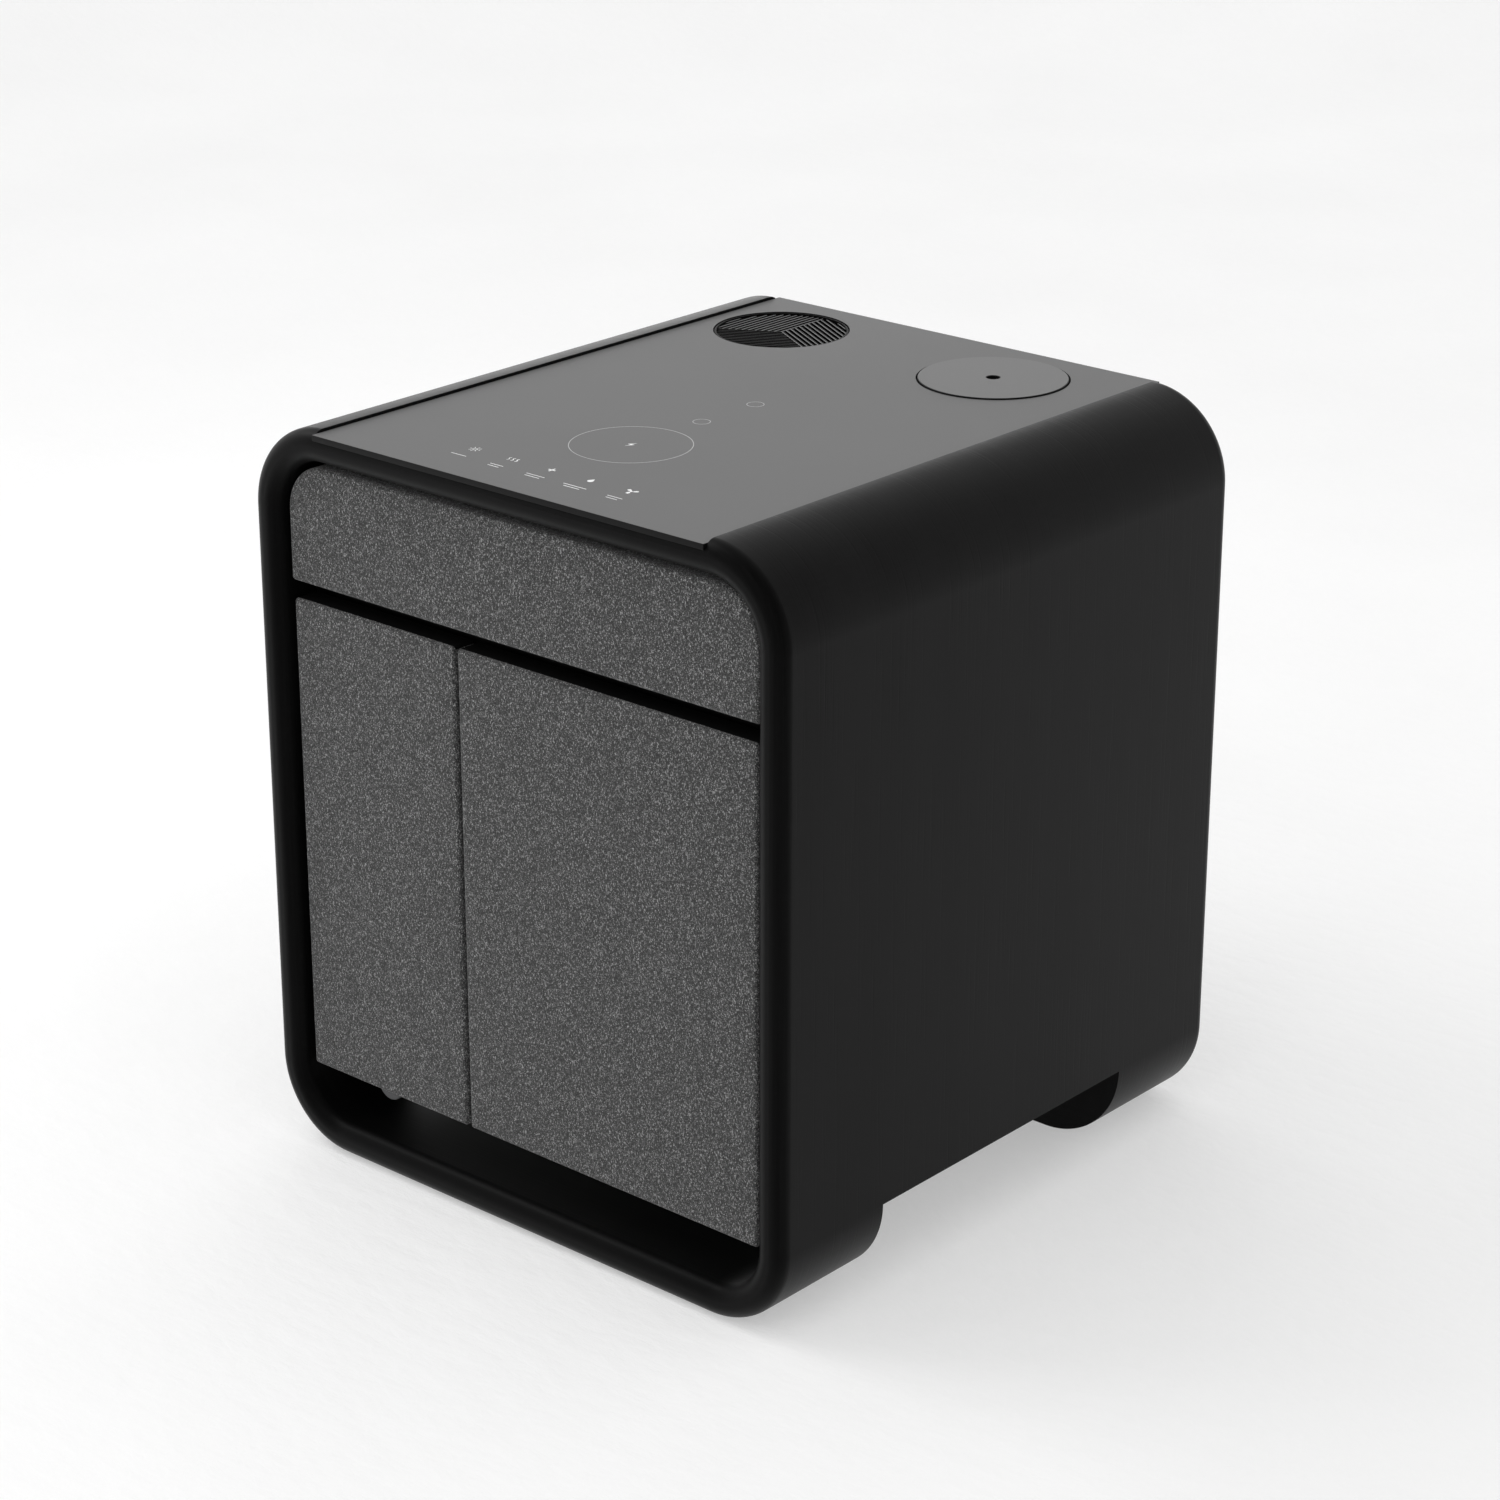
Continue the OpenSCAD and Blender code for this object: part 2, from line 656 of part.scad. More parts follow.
module pin_rods(r) for (z = [hinge_low, hinge_high])
    rod([hinge_x, hinge_y], r, z - notch_h / 2 - pin_grip, z + notch_h / 2 + pin_grip);

module door_board(inner) difference() {
    block([inner + fabric_t, face_y + fabric_t, door_z + fabric_t],
        [door_out - fabric_t, board_back, door_top - fabric_t]);
    hinge_notches();
    pin_rods(pin_r);
}

module door_cover(inner) difference() {
    block([inner, face_y, door_z], [door_out, board_back - 1, door_top]);
    block([inner + fabric_t, face_y + fabric_t, door_z + fabric_t],
        [door_out - fabric_t, board_back, door_top - fabric_t]);
    hinge_notches();
}

module hinge_arms_right() color([0.55, 0.56, 0.58]) for (z = [hinge_low, hinge_high])
    translate([0, 0, z]) difference() {
        union() {
            rod([hinge_x, hinge_y], arm_r, -arm_half, arm_half);
            block([hinge_x - arm_x, hinge_y, -arm_half], [hinge_x + arm_x, cab_y + 8, arm_half]);
            block([hinge_x - arm_x, cab_y + 2, -arm_half], [in_x, cab_y + 8, arm_half]);
            block([in_x - arm_plate, cab_y + 2, -8], [in_x, cab_y + 34, 8]);
        }
        rod([hinge_x, hinge_y], pin_r + bore_gap, -arm_half - 1, arm_half + 1);
    }

module hinge_pins_right() color([0.7, 0.71, 0.73]) pin_rods(pin_r);

module strike(side) translate([split_x + side * (panel_t / 2 + magnet_x), 0, 0])
    block([-magnet_x, board_back, magnet_low], [magnet_x, board_back + 0.8, magnet_high]);

module tab_solid(play = 0) upright(face_y + 1, face_y + 5)
    translate([tab_x, tab_z]) circle(tab_r + play);

module door_right() color([0.2, 0.17, 0.14]) door_board(right_in);
module door_right_fabric() color([0.32, 0.32, 0.33]) door_cover(right_in);
module strike_right() color([0.6, 0.6, 0.62]) strike(1);

module door_left() color([0.2, 0.17, 0.14]) difference() {
    mirror([1, 0, 0]) door_board(-left_in);
    tab_solid(0.1);
}

module door_left_fabric() color([0.32, 0.32, 0.33]) difference() {
    mirror([1, 0, 0]) door_cover(-left_in);
    tab_solid(0.1);
}

module hinge_arms_left() mirror([1, 0, 0]) hinge_arms_right();
module hinge_pins_left() mirror([1, 0, 0]) hinge_pins_right();
module strike_left() color([0.6, 0.6, 0.62]) strike(-1);
module pull_tab() color([0.4, 0.4, 0.41]) tab_solid();

wrap_frame();
foot_pads();
glass_top();
top_tray();
charging_coil();
coil_ferrite();
touch_board();
sensor_board();
grille_insert();
air_duct();
fan_frame();
fan_rotor();
fan_screws();
filter_frame();
filter_media();
filter_rails();
tank_lid();
water_tank();
tank_seat();
mist_disc();
tank_shelf();
hub_board();
power_supply();
mains_inlet();
base_panel();
divider_panel();
mid_panel();
service_wall();
bay_shelf();
shelf_pins();
back_panel();
rear_cleats();
back_screws();
light_strip();
door_magnets();
drawer_front();
drawer_fabric();
drawer_box();
runner_outer_left();
runner_outer_right();
runner_mid_left();
runner_mid_right();
runner_inner_left();
runner_inner_right();
door_left();
door_left_fabric();
hinge_arms_left();
hinge_pins_left();
strike_left();
pull_tab();
door_right();
door_right_fabric();
hinge_arms_right();
hinge_pins_right();
strike_right();
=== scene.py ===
# %% [markdown]
# # A bedside cabinet hub
# The cabinet is one bent-plywood band with a fabric drawer, two fabric doors, a matt
# glass top, an air outlet and a humidifier lid. The CAD model already holds every part
# at its place, so this script only gives the parts their looks: it rounds edges,
# upholsters the fronts, cuts the louvre, prints the marks on the glass and makes every
# finish. Lengths are in metres; MM turns a size in millimetres into metres, and points
# nearer than SAME count as one.

# %% Load the frame
import json
import math

import bmesh
import bpy
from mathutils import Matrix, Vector


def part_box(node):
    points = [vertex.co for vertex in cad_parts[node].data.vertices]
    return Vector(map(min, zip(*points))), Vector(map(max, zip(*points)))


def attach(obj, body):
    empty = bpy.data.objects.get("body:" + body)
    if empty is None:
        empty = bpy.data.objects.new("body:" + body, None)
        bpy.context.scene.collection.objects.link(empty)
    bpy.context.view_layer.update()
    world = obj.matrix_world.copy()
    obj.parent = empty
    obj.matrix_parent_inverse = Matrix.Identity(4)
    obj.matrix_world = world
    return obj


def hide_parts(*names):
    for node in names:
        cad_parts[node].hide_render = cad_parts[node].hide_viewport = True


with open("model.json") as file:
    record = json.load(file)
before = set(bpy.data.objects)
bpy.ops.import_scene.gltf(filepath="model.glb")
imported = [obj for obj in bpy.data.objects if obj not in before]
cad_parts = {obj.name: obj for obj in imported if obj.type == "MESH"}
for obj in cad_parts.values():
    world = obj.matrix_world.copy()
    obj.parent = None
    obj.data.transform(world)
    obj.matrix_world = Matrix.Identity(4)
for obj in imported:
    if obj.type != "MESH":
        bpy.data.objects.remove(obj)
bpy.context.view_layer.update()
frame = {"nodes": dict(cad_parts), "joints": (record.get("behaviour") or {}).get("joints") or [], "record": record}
NODES = frame["nodes"]
MM = 0.001
SAME = 1e-6

# %% [markdown]
# ## The dimensions this script needs
# Every place comes from the boxes of the CAD parts, so a change of the design moves the
# looks with it. Only finishing sizes, such as how far an edge is rounded, and the shapes
# of small details, such as a blade or a printed sign, are new here.

# %% Take the driving dimensions from the parts
wrap_lo, wrap_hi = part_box("wrap_frame")
glass_lo, glass_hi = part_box("glass_top")
panel_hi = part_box("base_panel")[1]
WALL = wrap_hi.x - panel_hi.x
FLAT_X = glass_hi.x
BEND_R = wrap_hi.x - FLAT_X
BEND_LOW = wrap_lo.z + BEND_R
BEND_HIGH = wrap_hi.z - BEND_R
EDGE_R = 10 * MM
print("wall", round(WALL, 4), "bend radius", round(BEND_R, 4))

# %% Find the separate solids of a part
def solids_in(node):
    """The box of each separate solid of a CAD part, such as one screw of a set."""
    bm = bmesh.new()
    bm.from_mesh(NODES[node].data)
    bmesh.ops.remove_doubles(bm, verts=bm.verts, dist=SAME)
    left, boxes = set(bm.verts), []
    while left:
        group, front = set(), [left.pop()]
        while front:
            vert = front.pop()
            group.add(vert)
            for edge in vert.link_edges:
                other = edge.other_vert(vert)
                if other in left:
                    left.remove(other)
                    front.append(other)
        points = [v.co for v in group]
        boxes.append((Vector(map(min, zip(*points))), Vector(map(max, zip(*points)))))
    bm.free()
    return sorted(boxes, key=lambda b: tuple(round(v, 4) for v in b[0]))


print("pads at", [tuple(round(v, 3) for v in (lo + hi) / 2) for lo, hi in solids_in("foot_pads")])

# %% [markdown]
# ## Helpers for meshes
# A finished piece is a mesh that rides on one CAD body and may stand for CAD parts.
# Smooth shading with sharp edges marked by angle keeps flat faces flat. The weighted
# normals then let the big faces win over the narrow roundings, as in real joinery,
# where a sanded arris never makes a flat panel look domed.

# %% Make a finished piece from a mesh
def smooth(obj, degrees=35):
    mesh = obj.data
    mesh.polygons.foreach_set("use_smooth", [True] * len(mesh.polygons))
    mesh.set_sharp_from_angle(angle=math.radians(degrees))
    weighted = obj.modifiers.new("flat_faces", "WEIGHTED_NORMAL")
    weighted.keep_sharp = True


def finished(name, bm, materials, body, stands_for=(), degrees=35):
    bmesh.ops.recalc_face_normals(bm, faces=bm.faces)
    mesh = bpy.data.meshes.new(name)
    bm.to_mesh(mesh)
    bm.free()
    obj = bpy.data.objects.new(name, mesh)
    bpy.context.scene.collection.objects.link(obj)
    for material in materials:
        mesh.materials.append(material)
    smooth(obj, degrees)
    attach(obj, body)
    if stands_for:
        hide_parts(*stands_for)
    return obj


# %% Cut and join solids
def solid(name, bm):
    mesh = bpy.data.meshes.new(name)
    bm.to_mesh(mesh)
    bm.free()
    obj = bpy.data.objects.new(name, mesh)
    bpy.context.scene.collection.objects.link(obj)
    return obj


def block(lo, hi):
    bm = bmesh.new()
    bmesh.ops.create_cube(bm, size=1.0)
    lo, hi = Vector(lo), Vector(hi)
    bmesh.ops.scale(bm, vec=hi - lo, verts=bm.verts)
    bmesh.ops.translate(bm, vec=(lo + hi) / 2, verts=bm.verts)
    return bm


def drum(centre, radius, z0, z1, steps=128):
    bm = bmesh.new()
    bmesh.ops.create_cone(bm, cap_ends=True, segments=steps, radius1=radius,
                          radius2=radius, depth=z1 - z0)
    bmesh.ops.translate(bm, vec=(centre[0], centre[1], (z0 + z1) / 2), verts=bm.verts)
    return bm


def carved(bm, cutters):
    """The mesh with every cutter taken out of it, as a new bmesh."""
    base = solid("carving", bm)
    tools = [solid("cutter", cutter) for cutter in cutters]
    for tool in tools:
        cut = base.modifiers.new("cut", "BOOLEAN")
        cut.operation, cut.solver, cut.object = "DIFFERENCE", "EXACT", tool
    result = bmesh.new()
    result.from_object(base, bpy.context.evaluated_depsgraph_get())
    for obj in [base] + tools:
        mesh = obj.data
        bpy.data.objects.remove(obj)
        bpy.data.meshes.remove(mesh)
    return result


def arris(bm, width, degrees=40, segments=3, where=lambda edge: True):
    """Rounds the sharp edges over, like a pass with fine sandpaper."""
    bmesh.ops.remove_doubles(bm, verts=bm.verts, dist=SAME)
    bmesh.ops.dissolve_limit(bm, angle_limit=math.radians(0.4), verts=bm.verts,
                             edges=bm.edges)
    sharp = [e for e in bm.edges if e.is_manifold and where(e)
             and e.calc_face_angle() > math.radians(degrees)]
    bmesh.ops.bevel(bm, geom=sharp, offset=width, offset_type="OFFSET",
                    segments=segments, profile=0.5, affect="EDGES", clamp_overlap=True)
    return len(sharp)


# %% Ease a CAD part without touching its mesh
def eased(node, width, degrees=35):
    """Modifiers weld the part's faces, clear flat ones of inner edges and round the rest."""
    obj = NODES[node]
    obj.modifiers.new("weld", "WELD").merge_threshold = SAME
    flat = obj.modifiers.new("flat", "DECIMATE")
    flat.decimate_type, flat.angle_limit = "DISSOLVE", math.radians(0.4)
    rounding = obj.modifiers.new("rounding", "BEVEL")
    rounding.width, rounding.segments = width, 2
    rounding.limit_method, rounding.angle_limit = "ANGLE", math.radians(degrees)
    weighted = obj.modifiers.new("flat_faces", "WEIGHTED_NORMAL")
    weighted.keep_sharp = True


# %% [markdown]
# ## Helpers for materials
# Each finish is a Principled shader. What is the same all over is set on its sockets;
# what varies, such as grain or thread, comes from noise through a ramp.

# %% Node helpers
class Finish:
    """One material and the few node shapes that its maker needs."""

    def __init__(self, name, colour, roughness, **sockets):
        self.material = bpy.data.materials.new(name)
        self.material.use_nodes = True
        self.nodes = self.material.node_tree.nodes
        self.links = self.material.node_tree.links
        self.shader = self.nodes["Principled BSDF"]
        self.shader.inputs["Base Color"].default_value = (*colour, 1)
        self.shader.inputs["Roughness"].default_value = roughness
        for socket, value in sockets.items():
            self.shader.inputs[socket.replace("_", " ")].default_value = value

    def node(self, kind, **values):
        made = self.nodes.new("ShaderNode" + kind)
        for key, value in values.items():
            setattr(made, key, value)
        return made

    def place(self, source="Object", scale=(1, 1, 1)):
        """Coordinates in metres, stretched by scale."""
        place = self.node("TexCoord").outputs[source]
        stretch = self.node("Mapping")
        stretch.inputs["Scale"].default_value = scale
        self.links.new(place, stretch.inputs["Vector"])
        return stretch.outputs["Vector"]

    def noise(self, where, scale, detail=2.0, rough=0.5):
        made = self.node("TexNoise")
        made.inputs["Scale"].default_value = scale
        made.inputs["Detail"].default_value = detail
        made.inputs["Roughness"].default_value = rough
        self.links.new(where, made.inputs["Vector"])
        return made.outputs["Fac"]

    def sums(self, operation, a, b=None, c=None):
        made = self.node("Math", operation=operation)
        for socket, value in zip(made.inputs, (a, b, c)):
            if isinstance(value, (int, float)):
                socket.default_value = value
            elif value is not None:
                self.links.new(value, socket)
        return made.outputs["Value"]

    def ramp(self, fac, stops):
        """A colour ramp; each stop is a position and a grey or a colour."""
        made = self.node("ValToRGB")
        points = made.color_ramp.elements
        while len(points) < len(stops):
            points.new(0.5)
        for point, (position, tone) in zip(points, stops):
            tone = (tone,) * 3 if isinstance(tone, (int, float)) else tone
            point.position, point.color = position, (*tone, 1)
        self.links.new(fac, made.inputs["Fac"])
        return made.outputs["Color"]

    def mix(self, fac, a, b):
        made = self.node("Mix", data_type="RGBA")
        for socket, value in ((made.inputs[0], fac), (made.inputs[6], a), (made.inputs[7], b)):
            if isinstance(value, (int, float)):
                socket.default_value = value
            elif isinstance(value, tuple):
                socket.default_value = (*value, 1)
            else:
                self.links.new(value, socket)
        return made.outputs[2]

    def colour(self, source):
        self.links.new(source, self.shader.inputs["Base Color"])

    def rough(self, source, low, high):
        spread = self.node("MapRange")
        spread.inputs["To Min"].default_value = low
        spread.inputs["To Max"].default_value = high
        self.links.new(source, spread.inputs["Value"])
        self.links.new(spread.outputs["Result"], self.shader.inputs["Roughness"])

    def bump(self, height, depth, strength=1.0):
        """Surface relief: height runs from 0 to 1, depth is what 1 stands for in metres."""
        made = self.node("Bump")
        made.inputs["Strength"].default_value = strength
        made.inputs["Distance"].default_value = depth
        self.links.new(height, made.inputs["Height"])
        self.links.new(made.outputs["Normal"], self.shader.inputs["Normal"])


# %% [markdown]
# ## Camera
# The camera stands to the right of the front, a little above the top, with a long lens,
# so that the upright edges stay nearly parallel.

# %% Place the camera
FOCAL_MM = 92.5
AZIMUTH, ELEVATION, DISTANCE = 41.231, 21.758, 2.570
orbit_centre = Vector((0, 0, wrap_hi.z / 2))
aim = Vector((0.0023, 0.0020, 0.2716))


def direction(azimuth, elevation):
    a, e = math.radians(azimuth), math.radians(elevation)
    return Vector((math.sin(a) * math.cos(e), -math.cos(a) * math.cos(e), math.sin(e)))


camera = bpy.data.objects.new("camera", bpy.data.cameras.new("camera"))
camera.data.lens = FOCAL_MM
camera.data.sensor_width = 36
camera.location = orbit_centre + direction(AZIMUTH, ELEVATION) * DISTANCE
camera.rotation_euler = (aim - camera.location).to_track_quat("-Z", "Y").to_euler()
bpy.context.scene.collection.objects.link(camera)
bpy.context.scene.camera = camera
print("camera at", [round(v, 3) for v in camera.location])

# %% [markdown]
# ## Floor and light
# A round pale plaster floor runs up into a wall in one sweep, so no horizon shows from
# any side. It glows a little, as a lit sweep in a studio does, which keeps the shadows
# pale. Black wood shows its shape only by what it reflects, so three soft boxes stand in
# a bright white room. The key, high on the left, throws the soft shadow to the right. The
# rim, low behind on the left, draws the bend there as a pale line; its beam is narrow, so
# the floor under it stays even. The front fill lifts the floor before the cabinet.

# %% Make the floor
def floor_finish():
    plaster = Finish("plaster_floor", (0.60, 0.60, 0.60), 0.85, Emission_Strength=0.39)
    plaster.shader.inputs["Emission Color"].default_value = (1, 1, 1, 1)
    where = plaster.place()
    clouds = plaster.noise(where, 3.0, 4.0)
    plaster.colour(plaster.ramp(clouds, [(0.3, 0.59), (0.7, 0.62)]))
    trowel = plaster.noise(plaster.place(scale=(1, 2.2, 1)), 22.0, 8.0, 0.62)
    plaster.bump(trowel, 0.004, 0.5)
    return plaster.material


def sweep_floor(radius=4.6, bend=1.2, rise=2.4, steps=16, sides=96):
    """A round floor whose rim turns up into a wall through one quarter circle."""
    line = [(0.0, 0.0), (radius - bend, 0.0)]
    for i in range(1, steps + 1):
        a = math.pi / 2 * i / steps
        line.append((radius - bend + bend * math.sin(a), bend - bend * math.cos(a)))
    line.append((radius, rise))
    bm = bmesh.new()
    rings = [[bm.verts.new((r * math.cos(2 * math.pi * k / sides),
                            r * math.sin(2 * math.pi * k / sides), z)) for k in range(sides)]
             for r, z in line]
    for near, far in zip(rings, rings[1:]):
        for k in range(sides):
            j = (k + 1) % sides
            bm.faces.new((near[k], near[j], far[j], far[k]))
    bmesh.ops.remove_doubles(bm, verts=bm.verts, dist=SAME)
    bmesh.ops.recalc_face_normals(bm, faces=bm.faces)
    obj = solid("floor", bm)
    obj.data.polygons.foreach_set("use_smooth", [True] * len(obj.data.polygons))
    obj.data.materials.append(floor_finish())
    print("floor", 2 * radius, "m across")


sweep_floor()

# %% Hang the lights
def soft_box(name, power, size, place, towards, spread=math.pi):
    """A rectangular lamp of a power in watts, aimed at a point."""
    lamp = bpy.data.lights.new(name, "AREA")
    lamp.energy, lamp.shape, lamp.size, lamp.size_y = power, "RECTANGLE", *size
    lamp.spread = spread
    obj = bpy.data.objects.new(name, lamp)
    obj.location = place
    obj.rotation_euler = (Vector(towards) - obj.location).to_track_quat("-Z", "Y").to_euler()
    obj.visible_camera = False
    bpy.context.scene.collection.objects.link(obj)


NARROW_BEAM = math.radians(90)
soft_box("key", 16, (1.3, 1.3), (-1.5, -0.7, 2.0), (0, 0, 0.2))
soft_box("rim", 0.9, (1.3, 0.5), (-1.5, 1.7, 0.8), (0, 0, 0.5), NARROW_BEAM)
soft_box("front_fill", 5, (1.6, 1.2), (0.6, -2.0, 1.9), (0.6, -1.1, 0))

world = bpy.data.worlds.new("white_room")
world.use_nodes = True
white = world.node_tree.nodes["Background"].inputs
white["Color"].default_value = (1, 1, 1, 1)
white["Strength"].default_value = 0.76
bpy.context.scene.world = world
bpy.context.scene.view_settings.view_transform = "Standard"

# %% [markdown]
# ## Black stained wood
# The band is pressed from thin veneers and stained black with a satin lacquer. Its grain
# follows the band round the bends, so the mesh carries coordinates that unroll the band:
# U runs along it and V across it, both in metres. Long thin noise along U is the grain.
# The lacquer is dull seen face on and shines only at a glance, so its tint is muted: that
# dims the reflection face on and leaves the one at grazing angles. Etched glass is a
# little brighter face on, and black plastic and ground edges are duller, so each has a
# tint of its own.

# %% Stain the wood
MUTED_TINT = (0.06, 0.06, 0.06, 1)
LACQUER_TINT = (0.12, 0.12, 0.12, 1)
ETCH_TINT = (0.32, 0.32, 0.32, 1)


def stained_wood(name, source="UV", stretch=(9, 420, 1), tone=1.0):
    wood = Finish(name, (0.005, 0.005, 0.005), 0.45, IOR=1.28, Specular_Tint=LACQUER_TINT)
    grain = wood.noise(wood.place(source, stretch), 1.0, 5.0, 0.55)
    bands = wood.noise(wood.place(source, (stretch[0] / 4, stretch[1] / 16, 1)), 1.0, 3.0)
    both = wood.sums("MULTIPLY_ADD", bands, 0.45, wood.sums("MULTIPLY", grain, 0.55))
    dark, light = 0.0012 * tone, 0.0036 * tone
    wood.colour(wood.ramp(both, [(0.32, dark), (0.68, light)]))
    wood.rough(grain, 0.36, 0.46)
    pores = wood.ramp(grain, [(0.30, 0.0), (0.46, 1.0)])
    wood.bump(pores, 0.00006, 0.5)
    return wood.material


STAINED = stained_wood("stained_wood")
BLACK_BOARD = stained_wood("black_board", "Object", (60, 60, 900), 1.2)
print("wood finishes:", STAINED.name, "and", BLACK_BOARD.name)

# %% [markdown]
# ## The bent band
# The band could come from the CAD mesh, but its grain has to follow the bends. So its
# section, a rounded bar, is swept round the outline, which gives clean quads and the
# unrolled coordinates. The legs, the seat of the glass and the well are then cut out,
# as a router would cut them, and the two edges beside the glass are rounded by hand.

# %% Sweep the band
def bend_outline(steps=30, straight=8):
    """Points round the outside of the band with their outward normals."""
    corners = [(FLAT_X, BEND_LOW, -90), (FLAT_X, BEND_HIGH, 0),
               (-FLAT_X, BEND_HIGH, 90), (-FLAT_X, BEND_LOW, 180)]
    ring = []
    for x, z, start in corners:
        for i in range(steps + 1):
            a = math.radians(start + 90 * i / steps)
            ring.append((x + BEND_R * math.cos(a), z + BEND_R * math.sin(a),
                         math.cos(a), math.sin(a)))
    full = []
    for i, here in enumerate(ring):
        there = ring[(i + 1) % len(ring)]
        full.append(here)
        if math.hypot(there[0] - here[0], there[1] - here[1]) > BEND_R:
            for k in range(1, straight):
                t = k / straight
                full.append(tuple(p + (q - p) * t for p, q in zip(here, there)))
    return full


def bar_section(steps=10, straight=12):
    """Points round the band's section: depth below the outer face, and place in Y."""
    y0, y1 = wrap_lo.y, wrap_hi.y
    corners = [(EDGE_R, y1 - EDGE_R, 180, -90), (WALL - EDGE_R, y1 - EDGE_R, 90, -90),
               (WALL - EDGE_R, y0 + EDGE_R, 0, -90), (EDGE_R, y0 + EDGE_R, -90, -90)]
    ring = []
    for d, y, start, turn in corners:
        for i in range(steps + 1):
            a = math.radians(start + turn * i / steps)
            ring.append((d + EDGE_R * math.cos(a), y + EDGE_R * math.sin(a)))
    full = []
    for i, here in enumerate(ring):
        there = ring[(i + 1) % len(ring)]
        full.append(here)
        if abs(there[1] - here[1]) > 0.1:
            for k in range(1, straight):
                full.append((here[0], here[1] + (there[1] - here[1]) * k / straight))
    return full


def sweep_band():
    bm = bmesh.new()
    section = bar_section()
    rings = [[bm.verts.new((x - nx * d, y, z - nz * d)) for d, y in section]
             for x, z, nx, nz in bend_outline()]
    for a, b in zip(rings, rings[1:] + rings[:1]):
        for i in range(len(section)):
            j = (i + 1) % len(section)
            bm.faces.new((a[i], a[j], b[j], b[i]))
    bmesh.ops.recalc_face_normals(bm, faces=bm.faces)
    return bm


# %% Unroll the band for its grain
def along_band(x, z):
    """Distance along the band from the middle of the top, to the nearest point of it."""
    quarter = BEND_R * math.pi / 2
    side = BEND_HIGH - BEND_LOW
    out, up, down = abs(x) - FLAT_X, z - BEND_HIGH, BEND_LOW - z
    if out <= 0:
        length = abs(x) if z > BEND_LOW + side / 2 else 2 * (FLAT_X + quarter) + side - abs(x)
    elif up >= 0:
        length = FLAT_X + BEND_R * math.atan2(out, up)
    elif down >= 0:
        length = FLAT_X + quarter + side + BEND_R * math.atan2(down, out)
    else:
        length = FLAT_X + quarter - up
    return math.copysign(length, x)


def unroll(bm, lean=0.3):
    """Grain coordinates in metres; lean slants the grain a little on the cut faces."""
    uv = bm.loops.layers.uv.verify()
    for face in bm.faces:
        centre = face.calc_center_median()
        for loop in face.loops:
            x, y, z = loop.vert.co
            x = math.copysign(max(abs(x), 1e-9), centre.x)
            loop[uv].uv = (along_band(x, z), y + lean * abs(x) * abs(face.normal.y))


# %% Rout the legs and the seat of the glass
def cut_of_legs():
    """The gap between the leg bands, read where the CAD part's lowest face ends in X."""
    low = [v.co.y for v in NODES["wrap_frame"].data.vertices
           if v.co.z < wrap_lo.z + 1 * MM and abs(abs(v.co.x) - FLAT_X) < MM]
    front = max(y for y in low if y < 0)
    rear = min(y for y in low if y > 0)
    return front, rear


def well_box():
    lo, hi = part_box("top_tray")
    return (lo.x, lo.y, wrap_hi.z - WALL - MM), (hi.x, hi.y, wrap_hi.z + MM)


def on_seat_edge(edge):
    """True for the band's two edges beside the glass, where a hand slides over."""
    return all(abs(abs(v.co.x) - FLAT_X) < MM and v.co.z > wrap_hi.z - 0.2 * MM
               for v in edge.verts)


def bent_band():
    leg_front, leg_rear = cut_of_legs()
    play = 0.15 * MM
    cutters = [
        block((-1, leg_front, wrap_lo.z - 0.1), (1, leg_rear, BEND_LOW)),
        block((glass_lo.x - play, wrap_lo.y - 0.1, glass_lo.z),
              (glass_hi.x + play, wrap_hi.y + 0.1, wrap_hi.z + 0.1)),
        block(*well_box()),
    ]
    cutters += [drum((lo + hi) / 2, (hi.x - lo.x) / 2, -0.01, hi.z, 48)
                for lo, hi in solids_in("foot_pads")]
    bm = carved(sweep_band(), cutters)
    beside_glass = arris(bm, 1.4 * MM, where=on_seat_edge)
    rounded = beside_glass + arris(bm, 0.3 * MM)
    unroll(bm)
    print("band:", len(bm.faces), "faces,", rounded, "edges sanded")
    return finished("bent_band", bm, [STAINED], "cabinet", ("wrap_frame",), 30)


bent_band()

# %% [markdown]
# ## Matt grey glass
# The top is glass painted grey on its back and etched matt on its face, with dark ground
# edges. Two materials do this: grey on the faces that look up, black on the rest.

# %% Mix the glass finishes
def etched_glass(name, tone):
    glass = Finish(name, (tone, tone, tone * 1.01), 0.5, IOR=1.5, Specular_Tint=ETCH_TINT)
    cloud = glass.noise(glass.place(), 5.0, 3.0)
    glass.colour(glass.ramp(cloud, [(0.3, tone * 0.97), (0.7, tone * 1.03)]))
    etch = glass.noise(glass.place(), 2600.0, 2.0)
    glass.rough(etch, 0.50, 0.60)
    glass.bump(etch, 0.00001, 0.4)
    return glass.material


def ground_edge():
    edge = Finish("ground_glass_edge", (0.004, 0.004, 0.004), 0.3, IOR=1.5,
                  Specular_Tint=MUTED_TINT)
    grind = edge.noise(edge.place(scale=(1, 1, 8)), 900.0, 3.0)
    edge.rough(grind, 0.25, 0.5)
    edge.bump(grind, 0.00001, 0.5)
    return edge.material


ETCHED = etched_glass("etched_glass", 0.121)
EDGE = ground_edge()
print("glass finishes:", ETCHED.name, "and", EDGE.name)

# %% Cut the glass
lid_lo, lid_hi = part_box("tank_lid")
grille_lo, grille_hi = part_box("grille_insert")
LID = ((lid_lo + lid_hi) / 2).to_2d()
GRILLE = ((grille_lo + grille_hi) / 2).to_2d()
LID_PLAY = 1 * MM
GRILLE_PLAY = 0.5 * MM


def two_tone(bm):
    """Gives faces that look up the first material and all others the second."""
    for face in bm.faces:
        face.material_index = 0 if face.normal.z > 0.9 else 1


